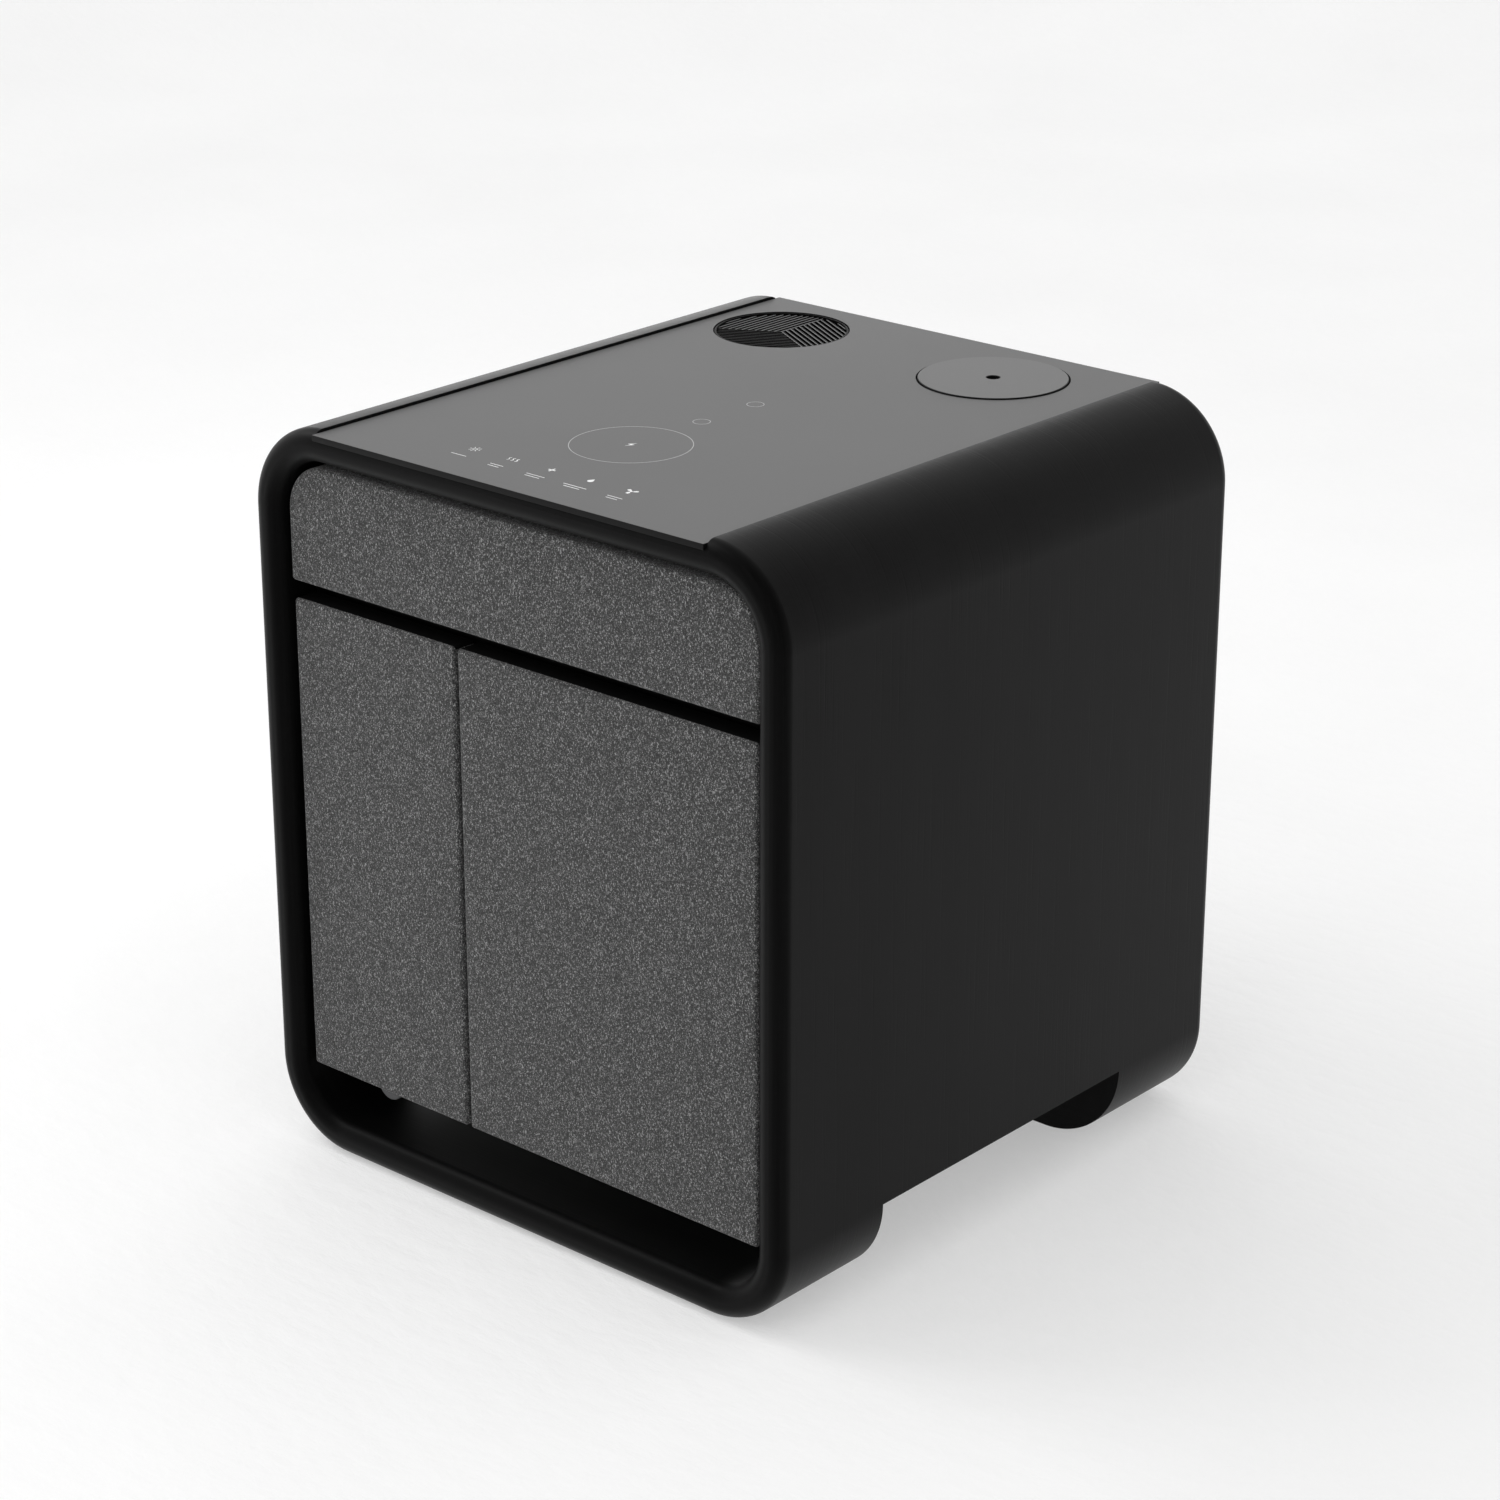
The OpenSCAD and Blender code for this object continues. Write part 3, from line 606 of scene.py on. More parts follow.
def glass_plate():
    lid_hole = (lid_hi.x - lid_lo.x) / 2 + LID_PLAY
    grille_hole = (grille_hi.x - grille_lo.x) / 2 + GRILLE_PLAY
    bm = carved(block(glass_lo, glass_hi),
                [drum(LID, lid_hole, 0, 1, 160), drum(GRILLE, grille_hole, 0, 1, 160)])
    arris(bm, 0.35 * MM, segments=2)
    bmesh.ops.recalc_face_normals(bm, faces=bm.faces)
    two_tone(bm)
    return finished("glass_plate", bm, [ETCHED, EDGE], "cabinet", ("glass_top",))


glass_plate()

# %% [markdown]
# ## Melange cloth
# The fronts wear a dark grey furnishing cloth woven from light and dark yarn. Each thread
# is about half a millimetre wide. An image of a weave would be simpler, but it would
# repeat and blur. Here every thread gets a number from its place, upright and level, and
# noise read at that number gives the thread its own shade, which changes along it. Fine
# fuzz over both keeps it woolly, and the product of two waves is the relief.

# %% Weave the cloth
def melange(pitch=0.58 * MM):
    cloth = Finish("melange_cloth", (0.1, 0.1, 0.1), 0.92, Specular_IOR_Level=0.18,
                   Sheen_Weight=0.18, Sheen_Roughness=0.6)
    place = cloth.node("SeparateXYZ")
    cloth.links.new(cloth.place("UV"), place.inputs["Vector"])
    across, up = place.outputs["X"], place.outputs["Y"]

    def thread(along, beside, length, seed):
        """The tone of one thread: its own shade, which changes every few millimetres."""
        number = cloth.sums("FLOOR", cloth.sums("DIVIDE", beside, pitch))
        spot = cloth.node("CombineXYZ")
        cloth.links.new(cloth.sums("DIVIDE", along, length), spot.inputs["X"])
        cloth.links.new(cloth.sums("MULTIPLY", number, 7.31), spot.inputs["Y"])
        spot.inputs["Z"].default_value = seed
        return cloth.noise(spot.outputs["Vector"], 1.0, 2.0, 0.75)

    warp = thread(up, across, 2.2 * MM, 3.0)
    weft = thread(across, up, 1.5 * MM, 17.0)
    fuzz = cloth.noise(cloth.place("UV", (1, 1, 1)), 1500.0, 2.0, 0.7)
    yarns = cloth.sums("MULTIPLY_ADD", warp, 0.46, cloth.sums("MULTIPLY", weft, 0.32))
    tone = cloth.sums("MULTIPLY_ADD", fuzz, 0.22, yarns)
    shades = [(0.41, 0.002), (0.478, 0.018), (0.53, 0.055), (0.60, 0.33)]
    cloth.colour(cloth.ramp(tone, shades))

    def rounded(value):
        wave = cloth.sums("DIVIDE", value, pitch / math.pi)
        return cloth.sums("ABSOLUTE", cloth.sums("SINE", wave))

    cloth.bump(cloth.sums("MULTIPLY", rounded(across), rounded(up)), 0.00016, 0.7)
    return cloth.material


CLOTH = melange()
print("cloth:", len(CLOTH.node_tree.nodes), "nodes")

# %% [markdown]
# ## Upholstered fronts
# Each front is a board with thin foam and one sheet of cloth pulled round it and fixed
# behind. A box with a cloth texture would have knife edges, so the cloth is built as
# a skin: rings of points start at the hem behind the board, come round the soft edge and
# end on the face, which has a slight crown. The doors' skins are slotted where the hinge
# arms pass. Their upper edge is coloured near black as painted shade, so the finger gap
# over them stays dark.

# %% Draw the outline of a front
def rounded_outline(x0, x1, z0, z1, radii, steps=12):
    """Points and outward directions; corners are bottom left, right, top right, left."""
    corners = [(x0, z0, 1, 1, 180), (x1, z0, -1, 1, 270),
               (x1, z1, -1, -1, 0), (x0, z1, 1, -1, 90)]
    points = []
    for (x, z, sx, sz, start), r in zip(corners, radii):
        for i in range(steps + 1):
            a = math.radians(start + 90 * i / steps)
            points.append((x + sx * r, z + sz * r, math.cos(a), math.sin(a), r))
    return points


def skin_profile(depth, soft, hem, thick, steps=7):
    """Offset from the outline and place behind the face, for the cloth's two surfaces."""
    fold = 1.2 * MM
    round_back = 0.35 * MM
    outer = [(-hem, depth), (-fold, depth), (-round_back, depth - round_back),
             (0, depth - fold), (0, depth / 2)]
    for i in range(steps + 1):
        a = math.pi / 2 * i / steps
        outer.append((-soft + soft * math.cos(a), soft - soft * math.sin(a)))
    crown, full = 0.4 * MM, 30 * MM
    outer += [(-8 * MM, -0.25 * MM), (-full, -crown)]
    inner = [(-hem, depth - thick), (-thick, depth - thick), (-thick, soft),
             (-soft, thick), (-full, thick - crown)]
    return outer, inner


def thread_line(bm, face_y):
    """Cloth coordinates in metres: X across and Y up, running on round the edges."""
    uv = bm.loops.layers.uv.verify()
    for face in bm.faces:
        side_x, side_z = abs(face.normal.x) > 0.7, abs(face.normal.z) > 0.7
        for loop in face.loops:
            x, y, z = loop.vert.co
            turn = y - face_y
            loop[uv].uv = (x + turn * side_x, z + turn * side_z)


# %% Pull the cloth round a board
def skin(lo, hi, depth, radii, soft, hem, thick):
    """One closed thin skin: rings from the middle of the lining out to the face's middle."""
    bm = bmesh.new()
    middle = (lo + hi) / 2
    outline = rounded_outline(lo.x, hi.x, lo.z, hi.z, radii)
    outer, inner = skin_profile(depth, soft, hem, thick)

    def ring(offset, behind):
        made = []
        for x, z, nx, nz, r in outline:
            reach, past = max(r + offset, 0.0), max(-r - offset, 0.0)
            px = x + nx * reach + math.copysign(past, middle.x - x)
            pz = z + nz * reach + math.copysign(past, middle.z - z)
            made.append(bm.verts.new((px, lo.y + behind, pz)))
        return made

    chain = [ring(o, b) for o, b in reversed(inner)] + [ring(o, b) for o, b in outer]
    for a, b in zip(chain, chain[1:]):
        for i in range(len(outline)):
            j = (i + 1) % len(outline)
            bm.faces.new((a[i], a[j], b[j], b[i]))
    bmesh.ops.remove_doubles(bm, verts=bm.verts, dist=SAME)
    bmesh.ops.holes_fill(bm, edges=[e for e in bm.edges if e.is_boundary])
    bmesh.ops.recalc_face_normals(bm, faces=bm.faces)
    return bm


def upholster(name, node, boards, body, radii, cuts=(), soft=2.4 * MM, hem=14 * MM,
              thick=0.9 * MM, gap_shaded=False):
    lo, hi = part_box(node)
    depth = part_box(boards[0])[1].y + thick - lo.y
    bm = skin(lo, hi, depth, radii, soft, hem, thick)
    if cuts:
        bm = carved(bm, cuts)
    thread_line(bm, lo.y)
    # The doors' upper edge takes the near-black painted shade of the finger gap.
    if gap_shaded:
        paint_gap_shade(bm, lo.y + soft, hi.z)
    obj = finished(name, bm, [CLOTH, GAP_SHADE], body, (node,), 40)
    return obj


# %% Paint shade on the upper edge
SMALL = 2.5 * MM


# A near-black colour painted on the doors' upper edge as painted shade of the finger gap.
def painted_gap_shade():
    gap_paint = Finish("painted_gap_shade", (0.003, 0.003, 0.003), 0.95, Specular_IOR_Level=0.05)
    weave = gap_paint.noise(gap_paint.place(scale=(1, 3, 3)), 1400.0, 2.0)
    gap_paint.colour(gap_paint.ramp(weave, [(0.35, 0.002), (0.7, 0.005)]))
    gap_paint.bump(weave, 0.00005, 0.5)
    return gap_paint.material


GAP_SHADE = painted_gap_shade()


def paint_gap_shade(bm, behind_y, level):
    """Gives the upper edge and its corners, behind the soft front, the near-black painted shade."""
    bm.normal_update()
    for face in bm.faces:
        centre = face.calc_center_median()
        if centre.y > behind_y and centre.z > level - SMALL and face.normal.z > 0.2:
            face.material_index = 1


# %% Find where the hinges go in
def hinge_cuts(side, play=0.6 * MM, half_height=4 * MM, past=60 * MM, behind=20 * MM):
    """Slots in a door's edge for its hinge arms, read from the arms themselves."""
    outward = -1 if side == "left" else 1
    cuts = []
    for lo, hi in solids_in("hinge_arms_" + side):
        inner = min(abs(lo.x), abs(hi.x)) - play
        outer = inner + past
        level = (lo.z + hi.z) / 2
        xs = sorted((outward * inner, outward * outer))
        cuts.append(block((xs[0], lo.y - play, level - half_height),
                          (xs[1], hi.y + behind, level + half_height)))
    return cuts


# %% Upholster the drawer and the doors
CORNER = 33 * MM
upholster("drawer_cloth", "drawer_fabric", ["drawer_front"], "drawer",
          (SMALL, SMALL, CORNER, CORNER))
for side in ("left", "right"):
    door = "door_" + side
    upholster(side + "_door_cloth", door + "_fabric", [door], door, (SMALL,) * 4,
              hinge_cuts(side), gap_shaded=True)

# %% [markdown]
# ## Moulded plastics
# Injection-moulded parts carry the fine grain that is sparked into their mould. One
# maker serves them all, and each use gives its tone, its roughness and how coarse its
# grain is. Clear plastic lets light through instead, and rubber holds pale dust.

# %% Mould the plastics
def moulded(name, colour, rough=(0.42, 0.60), grain=2200.0, depth=0.00004, **sockets):
    plastic = Finish(name, colour, rough[0], **sockets)
    spark = plastic.noise(plastic.place(), grain, 3.0, 0.6)
    flow = plastic.noise(plastic.place(), 14.0, 3.0)
    low, high = ([c * k for c in colour] for k in (0.90, 1.10))
    plastic.colour(plastic.ramp(flow, [(0.3, low), (0.7, high)]))
    plastic.rough(spark, *rough)
    plastic.bump(spark, depth, 0.5)
    return plastic.material


def clear_plastic(name, colour, **sockets):
    clear = Finish(name, colour, 0.12, IOR=1.49, Transmission_Weight=0.85, **sockets)
    flow = clear.noise(clear.place(scale=(1, 1, 0.3)), 60.0, 3.0)
    clear.rough(flow, 0.08, 0.22)
    clear.bump(flow, 0.0002, 0.2)
    return clear.material


def rubber(name, tone):
    pad = Finish(name, (tone,) * 3, 0.8)
    dust = pad.noise(pad.place(), 500.0, 5.0, 0.65)
    pad.colour(pad.ramp(dust, [(0.4, tone), (0.75, tone * 2.2)]))
    pad.rough(dust, 0.7, 0.95)
    pad.bump(dust, 0.0001, 0.5)
    return pad.material


# %% [markdown]
# ## Metals
# Drawn and rolled steel shows fine lines in the direction it was worked. Stretched noise
# drives the roughness, so the lines catch the light instead of looking painted on.

# %% Draw the metals
def drawn_metal(name, colour, lines=(6, 900, 900), rough=(0.28, 0.46)):
    metal = Finish(name, colour, rough[0], Metallic=1.0)
    line = metal.noise(metal.place(scale=lines), 1.0, 4.0, 0.6)
    spot = metal.noise(metal.place(), 90.0, 4.0)
    low, high = ([c * k for c in colour] for k in (0.80, 1.08))
    metal.colour(metal.ramp(spot, [(0.35, low), (0.65, high)]))
    metal.rough(line, *rough)
    metal.bump(line, 0.00002, 0.4)
    return metal.material


def copper_winding():
    wire = Finish("lacquered_copper", (0.72, 0.36, 0.18), 0.3, Metallic=1.0, Coat_Weight=0.5)
    tone = wire.noise(wire.place(), 300.0, 3.0)
    wire.colour(wire.ramp(tone, [(0.3, (0.55, 0.25, 0.12)), (0.7, (0.80, 0.42, 0.22))]))
    wire.bump(tone, 0.0001, 0.3)
    return wire.material


# %% [markdown]
# ## Boards, fleece, ceramic and birch
# These sit inside and are seen with a door open or with the tank lifted out. A circuit
# board's tracks are drawn as the edges of small cells, lifted a little under the green
# lacquer. The doors' inner faces are bare birch: fine upright fibre is enough there,
# because a face veneer shows no layers.

# %% Make the inner finishes
def circuit_board():
    board = Finish("circuit_board", (0.01, 0.08, 0.04), 0.35, Coat_Weight=0.4)
    cells = board.node("TexVoronoi", feature="DISTANCE_TO_EDGE")
    cells.inputs["Scale"].default_value = 260.0
    board.links.new(board.place(), cells.inputs["Vector"])
    track = board.ramp(cells.outputs["Distance"], [(0.05, 1.0), (0.11, 0.0)])
    board.colour(board.mix(track, (0.006, 0.060, 0.028), (0.02, 0.16, 0.075)))
    board.bump(track, 0.00005, 0.6)
    return board.material


def fleece():
    felt = Finish("filter_fleece", (0.8, 0.8, 0.77), 0.95, Sheen_Weight=0.2)
    fibre = felt.noise(felt.place(scale=(1, 1, 0.35)), 900.0, 6.0, 0.7)
    felt.colour(felt.ramp(fibre, [(0.3, (0.55, 0.55, 0.52)), (0.65, (0.86, 0.86, 0.83))]))
    felt.bump(fibre, 0.0004, 0.7)
    return felt.material


def fired_ceramic():
    disc = Finish("fired_ceramic", (0.72, 0.68, 0.6), 0.35)
    speck = disc.noise(disc.place(), 1500.0, 4.0, 0.7)
    disc.colour(disc.ramp(speck, [(0.35, (0.5, 0.46, 0.4)), (0.5, (0.74, 0.70, 0.62))]))
    disc.bump(speck, 0.00002, 0.4)
    return disc.material


def plywood_core():
    """Birch face veneer: fine upright fibre over broad soft shading, with short dark flecks."""
    ply = Finish("plywood_core", (0.42, 0.29, 0.17), 0.6)
    fibre = ply.noise(ply.place(scale=(700, 700, 14)), 1.0, 5.0, 0.6)
    broad = ply.noise(ply.place(scale=(22, 22, 2.5)), 1.0, 3.0)
    tone = ply.mix(0.45, fibre, broad)
    birch = ply.ramp(tone, [(0.32, (0.38, 0.27, 0.16)), (0.68, (0.53, 0.40, 0.26))])
    fleck = ply.ramp(ply.noise(ply.place(scale=(900, 900, 60)), 1.0, 2.0),
                     [(0.66, 0.0), (0.74, 0.5)])
    ply.colour(ply.mix(fleck, birch, (0.22, 0.14, 0.075)))
    ply.bump(fibre, 0.00008, 0.5)
    return ply.material


# %% [markdown]
# ## One finish for each slot
# The record names a material slot for every part. The table below gives each slot its
# finish once, and every part that keeps its CAD shape takes the finish of its slot.

# %% Fill the slots
STEEL = drawn_metal("zinc_steel", (0.56, 0.57, 0.59), (900, 6, 900))
BLACK_PLASTIC = moulded("black_plastic", (0.005, 0.005, 0.005), (0.38, 0.55),
                        Specular_Tint=MUTED_TINT)
SLOT_FINISH = {
    "stained_ply": STAINED,
    "black_panel": BLACK_BOARD,
    "grey_glass": ETCHED,
    "melange_fabric": CLOTH,
    "raw_ply": plywood_core(),
    "drawer_ply": stained_wood("drawer_ply", "Object", (14, 14, 500), 2.6),
    "dark_plastic": moulded("dark_plastic", (0.028, 0.028, 0.030)),
    "grille_plastic": moulded("grille_plastic", (0.003, 0.003, 0.003), (0.40, 0.50),
                              IOR=1.12, Specular_Tint=MUTED_TINT),
    "inlet_plastic": moulded("inlet_plastic", (0.015, 0.015, 0.015), (0.22, 0.34)),
    "duct_plastic": moulded("duct_plastic", (0.30, 0.30, 0.31), (0.5, 0.7)),
    "fan_plastic": moulded("fan_plastic", (0.035, 0.035, 0.037), (0.3, 0.45)),
    "filter_plastic": moulded("filter_plastic", (0.50, 0.51, 0.52)),
    "filter_fleece": fleece(),
    "lid_plastic": etched_glass("etched_lid", 0.147),
    "tank_clear": clear_plastic("smoke_plastic", (0.62, 0.66, 0.68)),
    "ceramic": fired_ceramic(),
    "coil_copper": copper_winding(),
    "ferrite": moulded("ferrite", (0.035, 0.035, 0.038), (0.6, 0.8), 700.0),
    "circuit_board": circuit_board(),
    "tin_case": drawn_metal("tinned_case", (0.62, 0.62, 0.61), (8, 700, 700), (0.3, 0.5)),
    "runner_steel": STEEL,
    "hinge_steel": drawn_metal("nickel_steel", (0.52, 0.51, 0.49), (700, 700, 8), (0.2, 0.36)),
    "screw_steel": drawn_metal("bright_steel", (0.55, 0.55, 0.57), (800, 800, 800)),
    "black_screw": drawn_metal("black_oxide", (0.03, 0.03, 0.032), (800, 800, 800),
                               (0.35, 0.5)),
    "lamp_diffuser": moulded("opal_diffuser", (0.78, 0.78, 0.74), Subsurface_Weight=0.2),
    "tab_plastic": moulded("soft_tab", (0.045, 0.045, 0.047), (0.5, 0.65), 1500.0),
    "pad_rubber": rubber("pad_rubber", 0.012),
}
print(len(SLOT_FINISH), "finishes")

# %% [markdown]
# ## Turned pieces
# The lid, the screws' heads, the louvre's ring and the fan's hub are round. Each is one
# profile turned about an axis, which gives an even rounded rim that a cylinder from the
# menu doesn't have.

# %% Turn a profile
def turned(profile, centre, steps=128, closed=True):
    """Turns (radius, height) points about an upright axis; closed profiles make a ring."""
    bm = bmesh.new()
    rings = []
    for k in range(steps):
        a = 2 * math.pi * k / steps
        rings.append([bm.verts.new((centre[0] + r * math.cos(a), centre[1] + r * math.sin(a), z))
                      for r, z in profile])
    pairs = list(zip(range(len(profile)), range(1, len(profile))))
    if closed:
        pairs.append((len(profile) - 1, 0))
    for a, b in zip(rings, rings[1:] + rings[:1]):
        for i, j in pairs:
            bm.faces.new((a[i], a[j], b[j], b[i]))
    bmesh.ops.remove_doubles(bm, verts=bm.verts, dist=1e-7)
    bmesh.ops.recalc_face_normals(bm, faces=bm.faces)
    return bm


def corner(r, z, radius, start, turn=-90, steps=5):
    """Points of a quarter round about a centre, from one angle through a turn."""
    return [(r + radius * math.cos(math.radians(start + turn * i / steps)),
             z + radius * math.sin(math.radians(start + turn * i / steps)))
            for i in range(steps + 1)]


# %% Turn the humidifier lid
def humidifier_lid(soft=0.7 * MM, mouth=4.5 * MM):
    radius = (lid_hi.x - lid_lo.x) / 2
    top, under = lid_hi.z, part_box("water_tank")[1].z
    skirt = 43.3 * MM
    wall = 2.3 * MM
    profile = [(mouth, under - MM)]
    profile += corner(mouth + soft, top - soft, soft, 180)
    profile += corner(radius - soft, top - soft, soft, 90)
    profile += [(radius, under + 0.3 * MM), (radius - 0.3 * MM, under), (skirt, under)]
    profile += [(skirt, lid_lo.z), (skirt - wall, lid_lo.z), (skirt - wall, under - MM)]
    bm = turned(profile, LID, 160)
    two_tone(bm)
    return finished("humidifier_lid", bm, [SLOT_FINISH["lid_plastic"], BLACK_PLASTIC], "tank",
                    ("tank_lid",))


humidifier_lid()


# %% Turn the screws for the back
def screw_set(socket=1.7 * MM):
    """Domed heads with a six-sided socket, one for each screw of the CAD part."""
    bm = bmesh.new()
    for lo, hi in solids_in("back_screws"):
        radius = (hi.x - lo.x) / 2
        height, shank = 2 * MM, 2 * MM
        length = hi.y - lo.y
        dome = [(0.0, 0.0), (shank, 0.0), (shank, length - height), (radius, length - height)]
        dome += corner(radius - 0.9 * MM, length - 1.1 * MM, 0.9 * MM, 0, 90)
        dome += [(0.0, length)]
        head = turned(dome, (0, 0), 40, closed=False)
        hexagon = drum((0, 0), socket, length - 1.2 * MM, length + MM, 6)
        screw = carved(head, [hexagon])
        arris(screw, 0.12 * MM, segments=2)
        backwards = Vector((0, 0, 1)).rotation_difference(Vector((0, 1, 0))).to_matrix()
        bmesh.ops.rotate(screw, cent=(0, 0, 0), verts=screw.verts, matrix=backwards)
        middle = (lo + hi) / 2
        bmesh.ops.translate(screw, vec=(middle.x, lo.y, middle.z), verts=screw.verts)
        part = bpy.data.meshes.new("screw")
        screw.to_mesh(part)
        screw.free()
        bm.from_mesh(part)
        bpy.data.meshes.remove(part)
    return finished("panel_screws", bm, [SLOT_FINISH["black_screw"]], "cabinet",
                    ("back_screws",))


screw_set()

# %% [markdown]
# ## The louvre
# The air outlet is a ring with three sectors of upright slats, each a third of a turn
# from the next. The slats are chamfered along one upper edge, and the chamfer is coloured
# pale grey as a painted highlight on the black slats. The chamfer faces another way in
# each sector, so from most places one sector shows bright lines, the next fainter ones and
# the third none. The CAD part has square slats, so the chamfer is modelled here; lines
# painted on flat tops would look alike in all three.

# %% Cut one slat
SLAT_PITCH = 4 * MM
# Pale grey on the chamfers is a painted highlight, standing in for the light that the black slats' edges catch.
SLAT_HIGHLIGHT = moulded("slat_edge_painted_highlight", (0.18, 0.18, 0.18), (0.4, 0.55), 1500.0)


def slat(bm, side, reach, turn, thick=1.3 * MM, chamfer=0.36 * MM, tall=6.5 * MM):
    """A slat at a distance beside its spoke, from the next spoke out to the ring."""
    high = grille_hi.z - MM
    low = high - tall
    drop = 0.7 * chamfer
    section = [(0, low), (thick, low), (thick, high), (chamfer, high), (0, high - drop)]
    chamfer_face = 3
    inner, outer = [], []
    for across, z in section:
        y = side + across
        for row, x in ((inner, -y / math.tan(math.radians(60))),
                       (outer, math.sqrt(reach * reach - y * y))):
            row.append(bm.verts.new((GRILLE.x + x * math.cos(turn) - y * math.sin(turn),
                                     GRILLE.y + x * math.sin(turn) + y * math.cos(turn), z)))
    for i in range(len(section)):
        j = (i + 1) % len(section)
        face = bm.faces.new((inner[i], inner[j], outer[j], outer[i]))
        # The chamfer takes the pale grey painted highlight.
        face.material_index = 1 if i == chamfer_face else 0
    bm.faces.new(inner)
    bm.faces.new(outer)


# %% Set the slats in their ring
SPOKES = (-30, 90, 210)


def louvre(wall=1.7 * MM, soft=0.5 * MM):
    radius = (grille_hi.x - grille_lo.x) / 2
    bore, top = radius - wall, grille_hi.z
    ring = [(bore, grille_lo.z), (radius, grille_lo.z)]
    ring += corner(radius - soft, top - soft, soft, 0, 90)
    ring += corner(bore + soft, top - soft, soft, 90, 90)
    bm = turned(ring, GRILLE, 160)
    reach = bore + 0.7 * MM
    rows = int(reach / SLAT_PITCH) + 1
    for spoke in SPOKES:
        for row in range(rows):
            slat(bm, row * SLAT_PITCH, reach, math.radians(spoke))
    print("louvre:", len(SPOKES) * rows, "slats")
    return finished("louvre", bm, [SLOT_FINISH["grille_plastic"], SLAT_HIGHLIGHT], "cabinet",
                    ("grille_insert",), 30)


louvre()

# %% [markdown]
# ## Marks printed on the glass
# The touch keys and the charging spot are screen-printed in pale ink. Each mark is a very
# thin solid of ink, drawn as strokes and filled shapes, so it stays crisp from any
# distance. The marks are plain signs: light, mist, plus, drop, fan and a bolt, with
# short bars where the captions are.

# %% Draw with ink
class Ink:
    """Collects flat shapes on the glass and gives them the thickness of ink."""

    def __init__(self, thick=0.05 * MM, sunk=0.02 * MM):
        self.bm = bmesh.new()
        self.low, self.high = glass_hi.z - sunk, glass_hi.z + thick

    def slab(self, points):
        """A filled outline, given once round, anticlockwise."""
        low = [self.bm.verts.new((x, y, self.low)) for x, y in points]
        high = [self.bm.verts.new((x, y, self.high)) for x, y in points]
        self.bm.faces.new(high)
        self.bm.faces.new(list(reversed(low)))
        for i in range(len(points)):
            j = (i + 1) % len(points)
            self.bm.faces.new((low[i], low[j], high[j], high[i]))

    def stroke(self, points, width):
        """A line of a given width through open points."""
        left, right = [], []
        for i, here in enumerate(points):
            before = Vector(points[max(i - 1, 0)])
            after = Vector(points[min(i + 1, len(points) - 1)])
            side = (after - before).normalized().orthogonal() * width / 2
            left.append(Vector(here) + side)
            right.append(Vector(here) - side)
        outline = right + list(reversed(left))
        area = sum(a.x * b.y - b.x * a.y for a, b in zip(outline, outline[1:] + outline[:1]))
        self.slab(outline if area > 0 else list(reversed(outline)))

    def ring(self, centre, radius, width, steps=120):
        bands = []
        for r, z in ((radius - width / 2, self.low), (radius + width / 2, self.low),
                     (radius + width / 2, self.high), (radius - width / 2, self.high)):
            bands.append([self.bm.verts.new((*round_point(centre, r, 360 * k / steps), z))
                          for k in range(steps)])
        for a, b in zip(bands, bands[1:] + bands[:1]):
            for k in range(steps):
                j = (k + 1) % steps
                self.bm.faces.new((a[k], a[j], b[j], b[k]))

    def disc(self, centre, radius, steps=24):
        self.slab([round_point(centre, radius, 360 * k / steps) for k in range(steps)])


def round_point(centre, radius, degrees):
    a = math.radians(degrees)
    return centre[0] + radius * math.cos(a), centre[1] + radius * math.sin(a)


# %% Draw the five keys
def sun(ink, x, y):
    ink.ring((x, y), 1.5 * MM, 0.45 * MM, 32)
    for k in range(8):
        ink.stroke([round_point((x, y), r * MM, 45 * k) for r in (2.5, 4.2)], 0.5 * MM)


def mist(ink, x, y):
    for shift, size in ((-3.4, 0.55), (0, 0.65), (3.4, 0.8)):
        wave = [(x + (shift + 0.8 * math.sin(t * math.pi / 4)) * MM, y + (t / 8 * 5 - 2.5) * MM)
                for t in range(9)]
        ink.stroke(wave, size * MM)


def plus(ink, x, y, half=2.9 * MM, width=1.1 * MM):
    w = width / 2
    ink.slab([(x - w, y - half), (x + w, y - half), (x + w, y - w), (x + half, y - w),
              (x + half, y + w), (x + w, y + w), (x + w, y + half), (x - w, y + half),
              (x - w, y + w), (x - half, y + w), (x - half, y - w), (x - w, y - w)])


def drop(ink, x, y, radius=2.0 * MM):
    low = (x, y - 0.8 * MM)
    ink.slab([round_point(low, radius, -210 + 20 * k) for k in range(13)] + [(x, y + 3.2 * MM)])


def fan(ink, x, y, blades=3, length=4.6):
    blade = ((1.2, -22), (2.8, -14), (length, 0), (length, 24), (3.2, 34), (1.4, 30))
    ink.disc((x, y), 0.9 * MM)
    for k in range(blades):
        turn = 20 + 360 * k / blades
        ink.slab([round_point((x, y), r * MM, turn + a) for r, a in blade])


def bolt(ink, x, y, size=1.0):
    points = [(-1.9, -0.3), (0.2, -0.5), (-0.9, -3.6), (1.9, 0.6), (-0.1, 0.7), (1.0, 3.6)]
    ink.slab([(x + a * size * MM, y + b * size * MM) for a, b in points])


# %% Print the marks
PALE_INK = moulded("pale_ink", (0.88, 0.88, 0.88), (0.5, 0.6), 3000.0, 0.00001)
FINE_INK = moulded("fine_ink", (0.50, 0.50, 0.50), (0.5, 0.6), 3000.0, 0.00001)
KEY_PITCH = 33 * MM
board_lo, board_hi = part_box("touch_board")
key_y = (board_lo.y + board_hi.y) / 2
coil_lo, coil_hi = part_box("charging_coil")
coil_centre = ((coil_lo + coil_hi) / 2).to_2d()


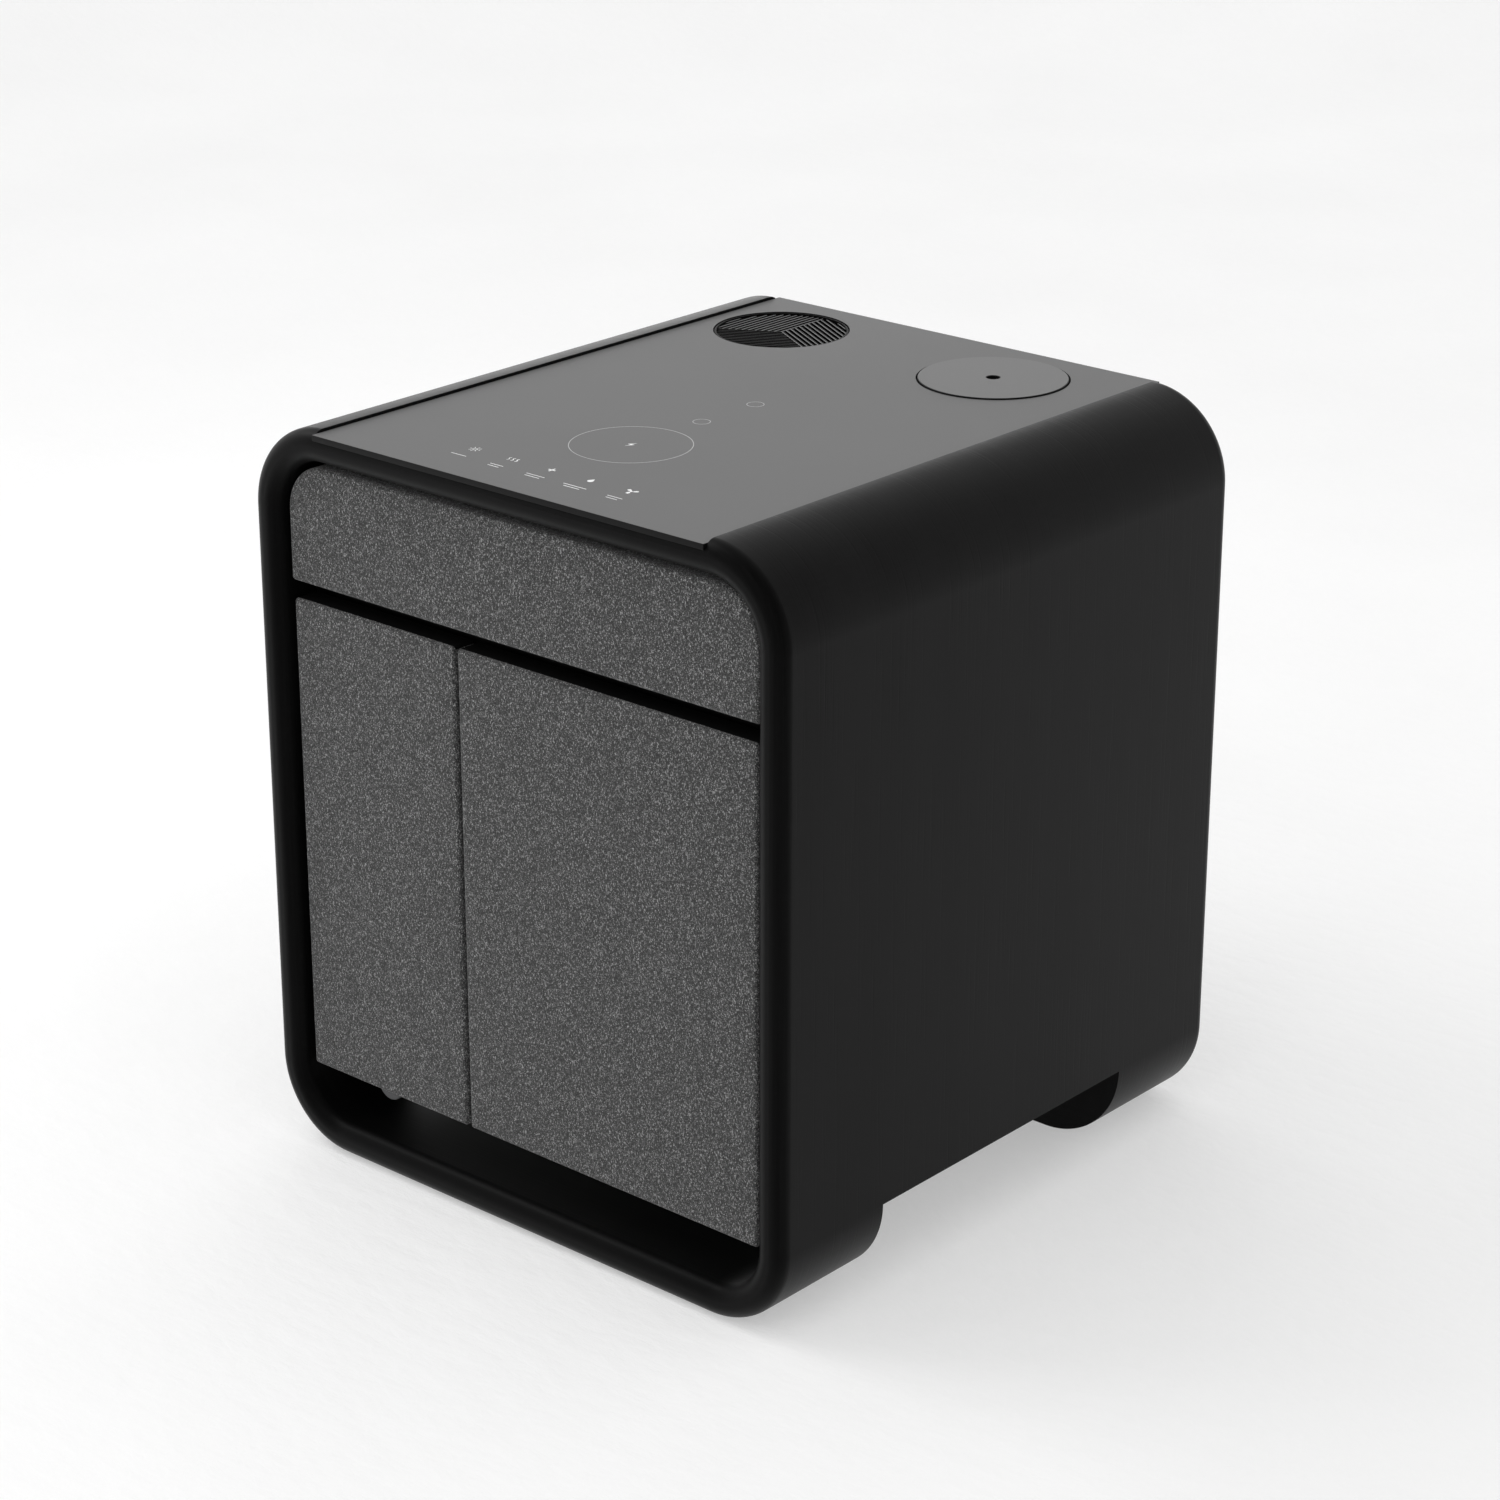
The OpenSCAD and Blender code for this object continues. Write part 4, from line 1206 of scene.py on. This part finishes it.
def key_marks(line=0.6 * MM):
    """The five signs, a bolt on the charging spot and one or two caption bars a key."""
    ink = Ink()
    signs = (sun, mist, plus, drop, fan)
    bar_lengths = ((13, 0), (11, 9), (15, 12), (19, 13), (12, 9))
    below, row_pitch = 14.5, 3.2
    for k, (draw, bars) in enumerate(zip(signs, bar_lengths)):
        x, y = (k - 2) * KEY_PITCH, key_y
        draw(ink, x, y)
        for row, length in enumerate(bars):
            half, level = length / 2 * MM, y - (below + row_pitch * row) * MM
            if length:
                ink.stroke([(x - half, level), (x + half, level)], line)
    bolt(ink, *coil_centre, 1.25)
    return finished("key_marks", ink.bm, [PALE_INK], "cabinet")


def fine_marks(charge_r=39 * MM, sensor_r=5.6 * MM, sensor_inset=14 * MM):
    """The ring round the charging spot and the two rings over the sensors."""
    ink = Ink()
    ink.ring(coil_centre, charge_r, 0.45 * MM)
    sensor_lo, sensor_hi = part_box("sensor_board")
    for y in (sensor_lo.y + sensor_inset, sensor_hi.y - sensor_inset):
        ink.ring((0, y), sensor_r, 0.4 * MM, 48)
    return finished("fine_marks", ink.bm, [FINE_INK], "cabinet")


key_marks()
fine_marks()

# %% [markdown]
# ## The fan wheel
# Seen down through the louvre. Flat blades would look like a toy's, so each blade is
# lofted from the hub out: its pitch eases off and its edge sweeps back towards the tip.

# %% Loft the fan wheel
def fan_wheel(blades=7, sections=8, across=6):
    lo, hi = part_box("fan_rotor")
    axis = next(j for j in frame["joints"] if j["name"] == "fan_spin")["pos_m"]
    hub_r, tip_r = 15 * MM, 41.2 * MM
    root = hub_r - 2 * MM
    steep, ease, swept = 48, 22, 14
    half_thick, hollow, flatten = 0.8 * MM, 1.2 * MM, 0.85
    middle, top, low = (lo.z + hi.z) / 2 + MM, hi.z - MM, lo.z + 4.5 * MM
    hub = [(0.0, low), (hub_r - 0.5 * MM, low), (hub_r, low + 0.5 * MM)]
    hub += corner(hub_r - 2 * MM, top - 2 * MM, 2 * MM, 0, 90) + [(0.0, top)]
    bm = turned(hub, axis, 64, closed=False)
    for k in range(blades):
        grid = []
        for i in range(sections + 1):
            t = i / sections
            r = root + (tip_r - root) * t
            pitch = math.radians(steep - ease * t)
            sweep = math.radians(360 * k / blades + swept * t * t)
            chord = (17 + 5 * t) * MM
            row = []
            for side in (1, -1):
                for j in range(across + 1):
                    u = (j / across - 0.5) * side
                    arch = max(0.0, 1 - 4 * u * u)
                    height = side * half_thick * math.sqrt(arch) + hollow * arch
                    along = chord * u
                    d = along * math.cos(pitch) - height * math.sin(pitch)
                    z = along * math.sin(pitch) + height * math.cos(pitch)
                    a = sweep + d / max(r, hub_r)
                    row.append(bm.verts.new((axis[0] + r * math.cos(a),
                                             axis[1] + r * math.sin(a),
                                             middle + z * flatten)))
            grid.append(row)
        for a, b in zip(grid, grid[1:]):
            for j in range(len(a)):
                n = (j + 1) % len(a)
                bm.faces.new((a[j], a[n], b[n], b[j]))
        bm.faces.new(grid[0])
        bm.faces.new(list(reversed(grid[-1])))
    bmesh.ops.remove_doubles(bm, verts=bm.verts, dist=1e-7)
    return finished("fan_wheel", bm, [SLOT_FINISH["fan_plastic"]], "fan",
                    ("fan_rotor",), 50)


fan_wheel()

# %% [markdown]
# ## Parts that keep their CAD shape
# The rest is right as it was designed. It only needs its finish and eased edges: boards
# keep a sanded arris and mouldings a soft one. The table gives each rounding in
# millimetres, and parts that it leaves out stay as they are.

# %% Finish the kept parts
EASE = {"pull_tab": 1.2, "foot_pads": 0.4, "mains_inlet": 0.5,
        "back_panel": 0.4, "drawer_box": 0.8, "divider_panel": 0.4, "base_panel": 0.5,
        "mid_panel": 0.4, "bay_shelf": 0.6, "filter_frame": 1.0, "air_duct": 0.6,
        "power_supply": 0.5, "rear_cleats": 0.6, "fan_frame": 0.4, "door_left": 0.3,
        "door_right": 0.3, "drawer_front": 0.3, "light_strip": 0.4}
slot_of = {row["node"]: row["material_slot"] for row in frame["record"]["subparts"]}
kept = [name for name, obj in NODES.items() if not obj.hide_render]
for name in kept:
    mesh = NODES[name].data
    mesh.materials.clear()
    mesh.materials.append(SLOT_FINISH[slot_of[name]])
    if name in EASE:
        eased(name, EASE[name] * MM)
print(len(kept), "parts keep their shape,", len(NODES) - len(kept), "are replaced")
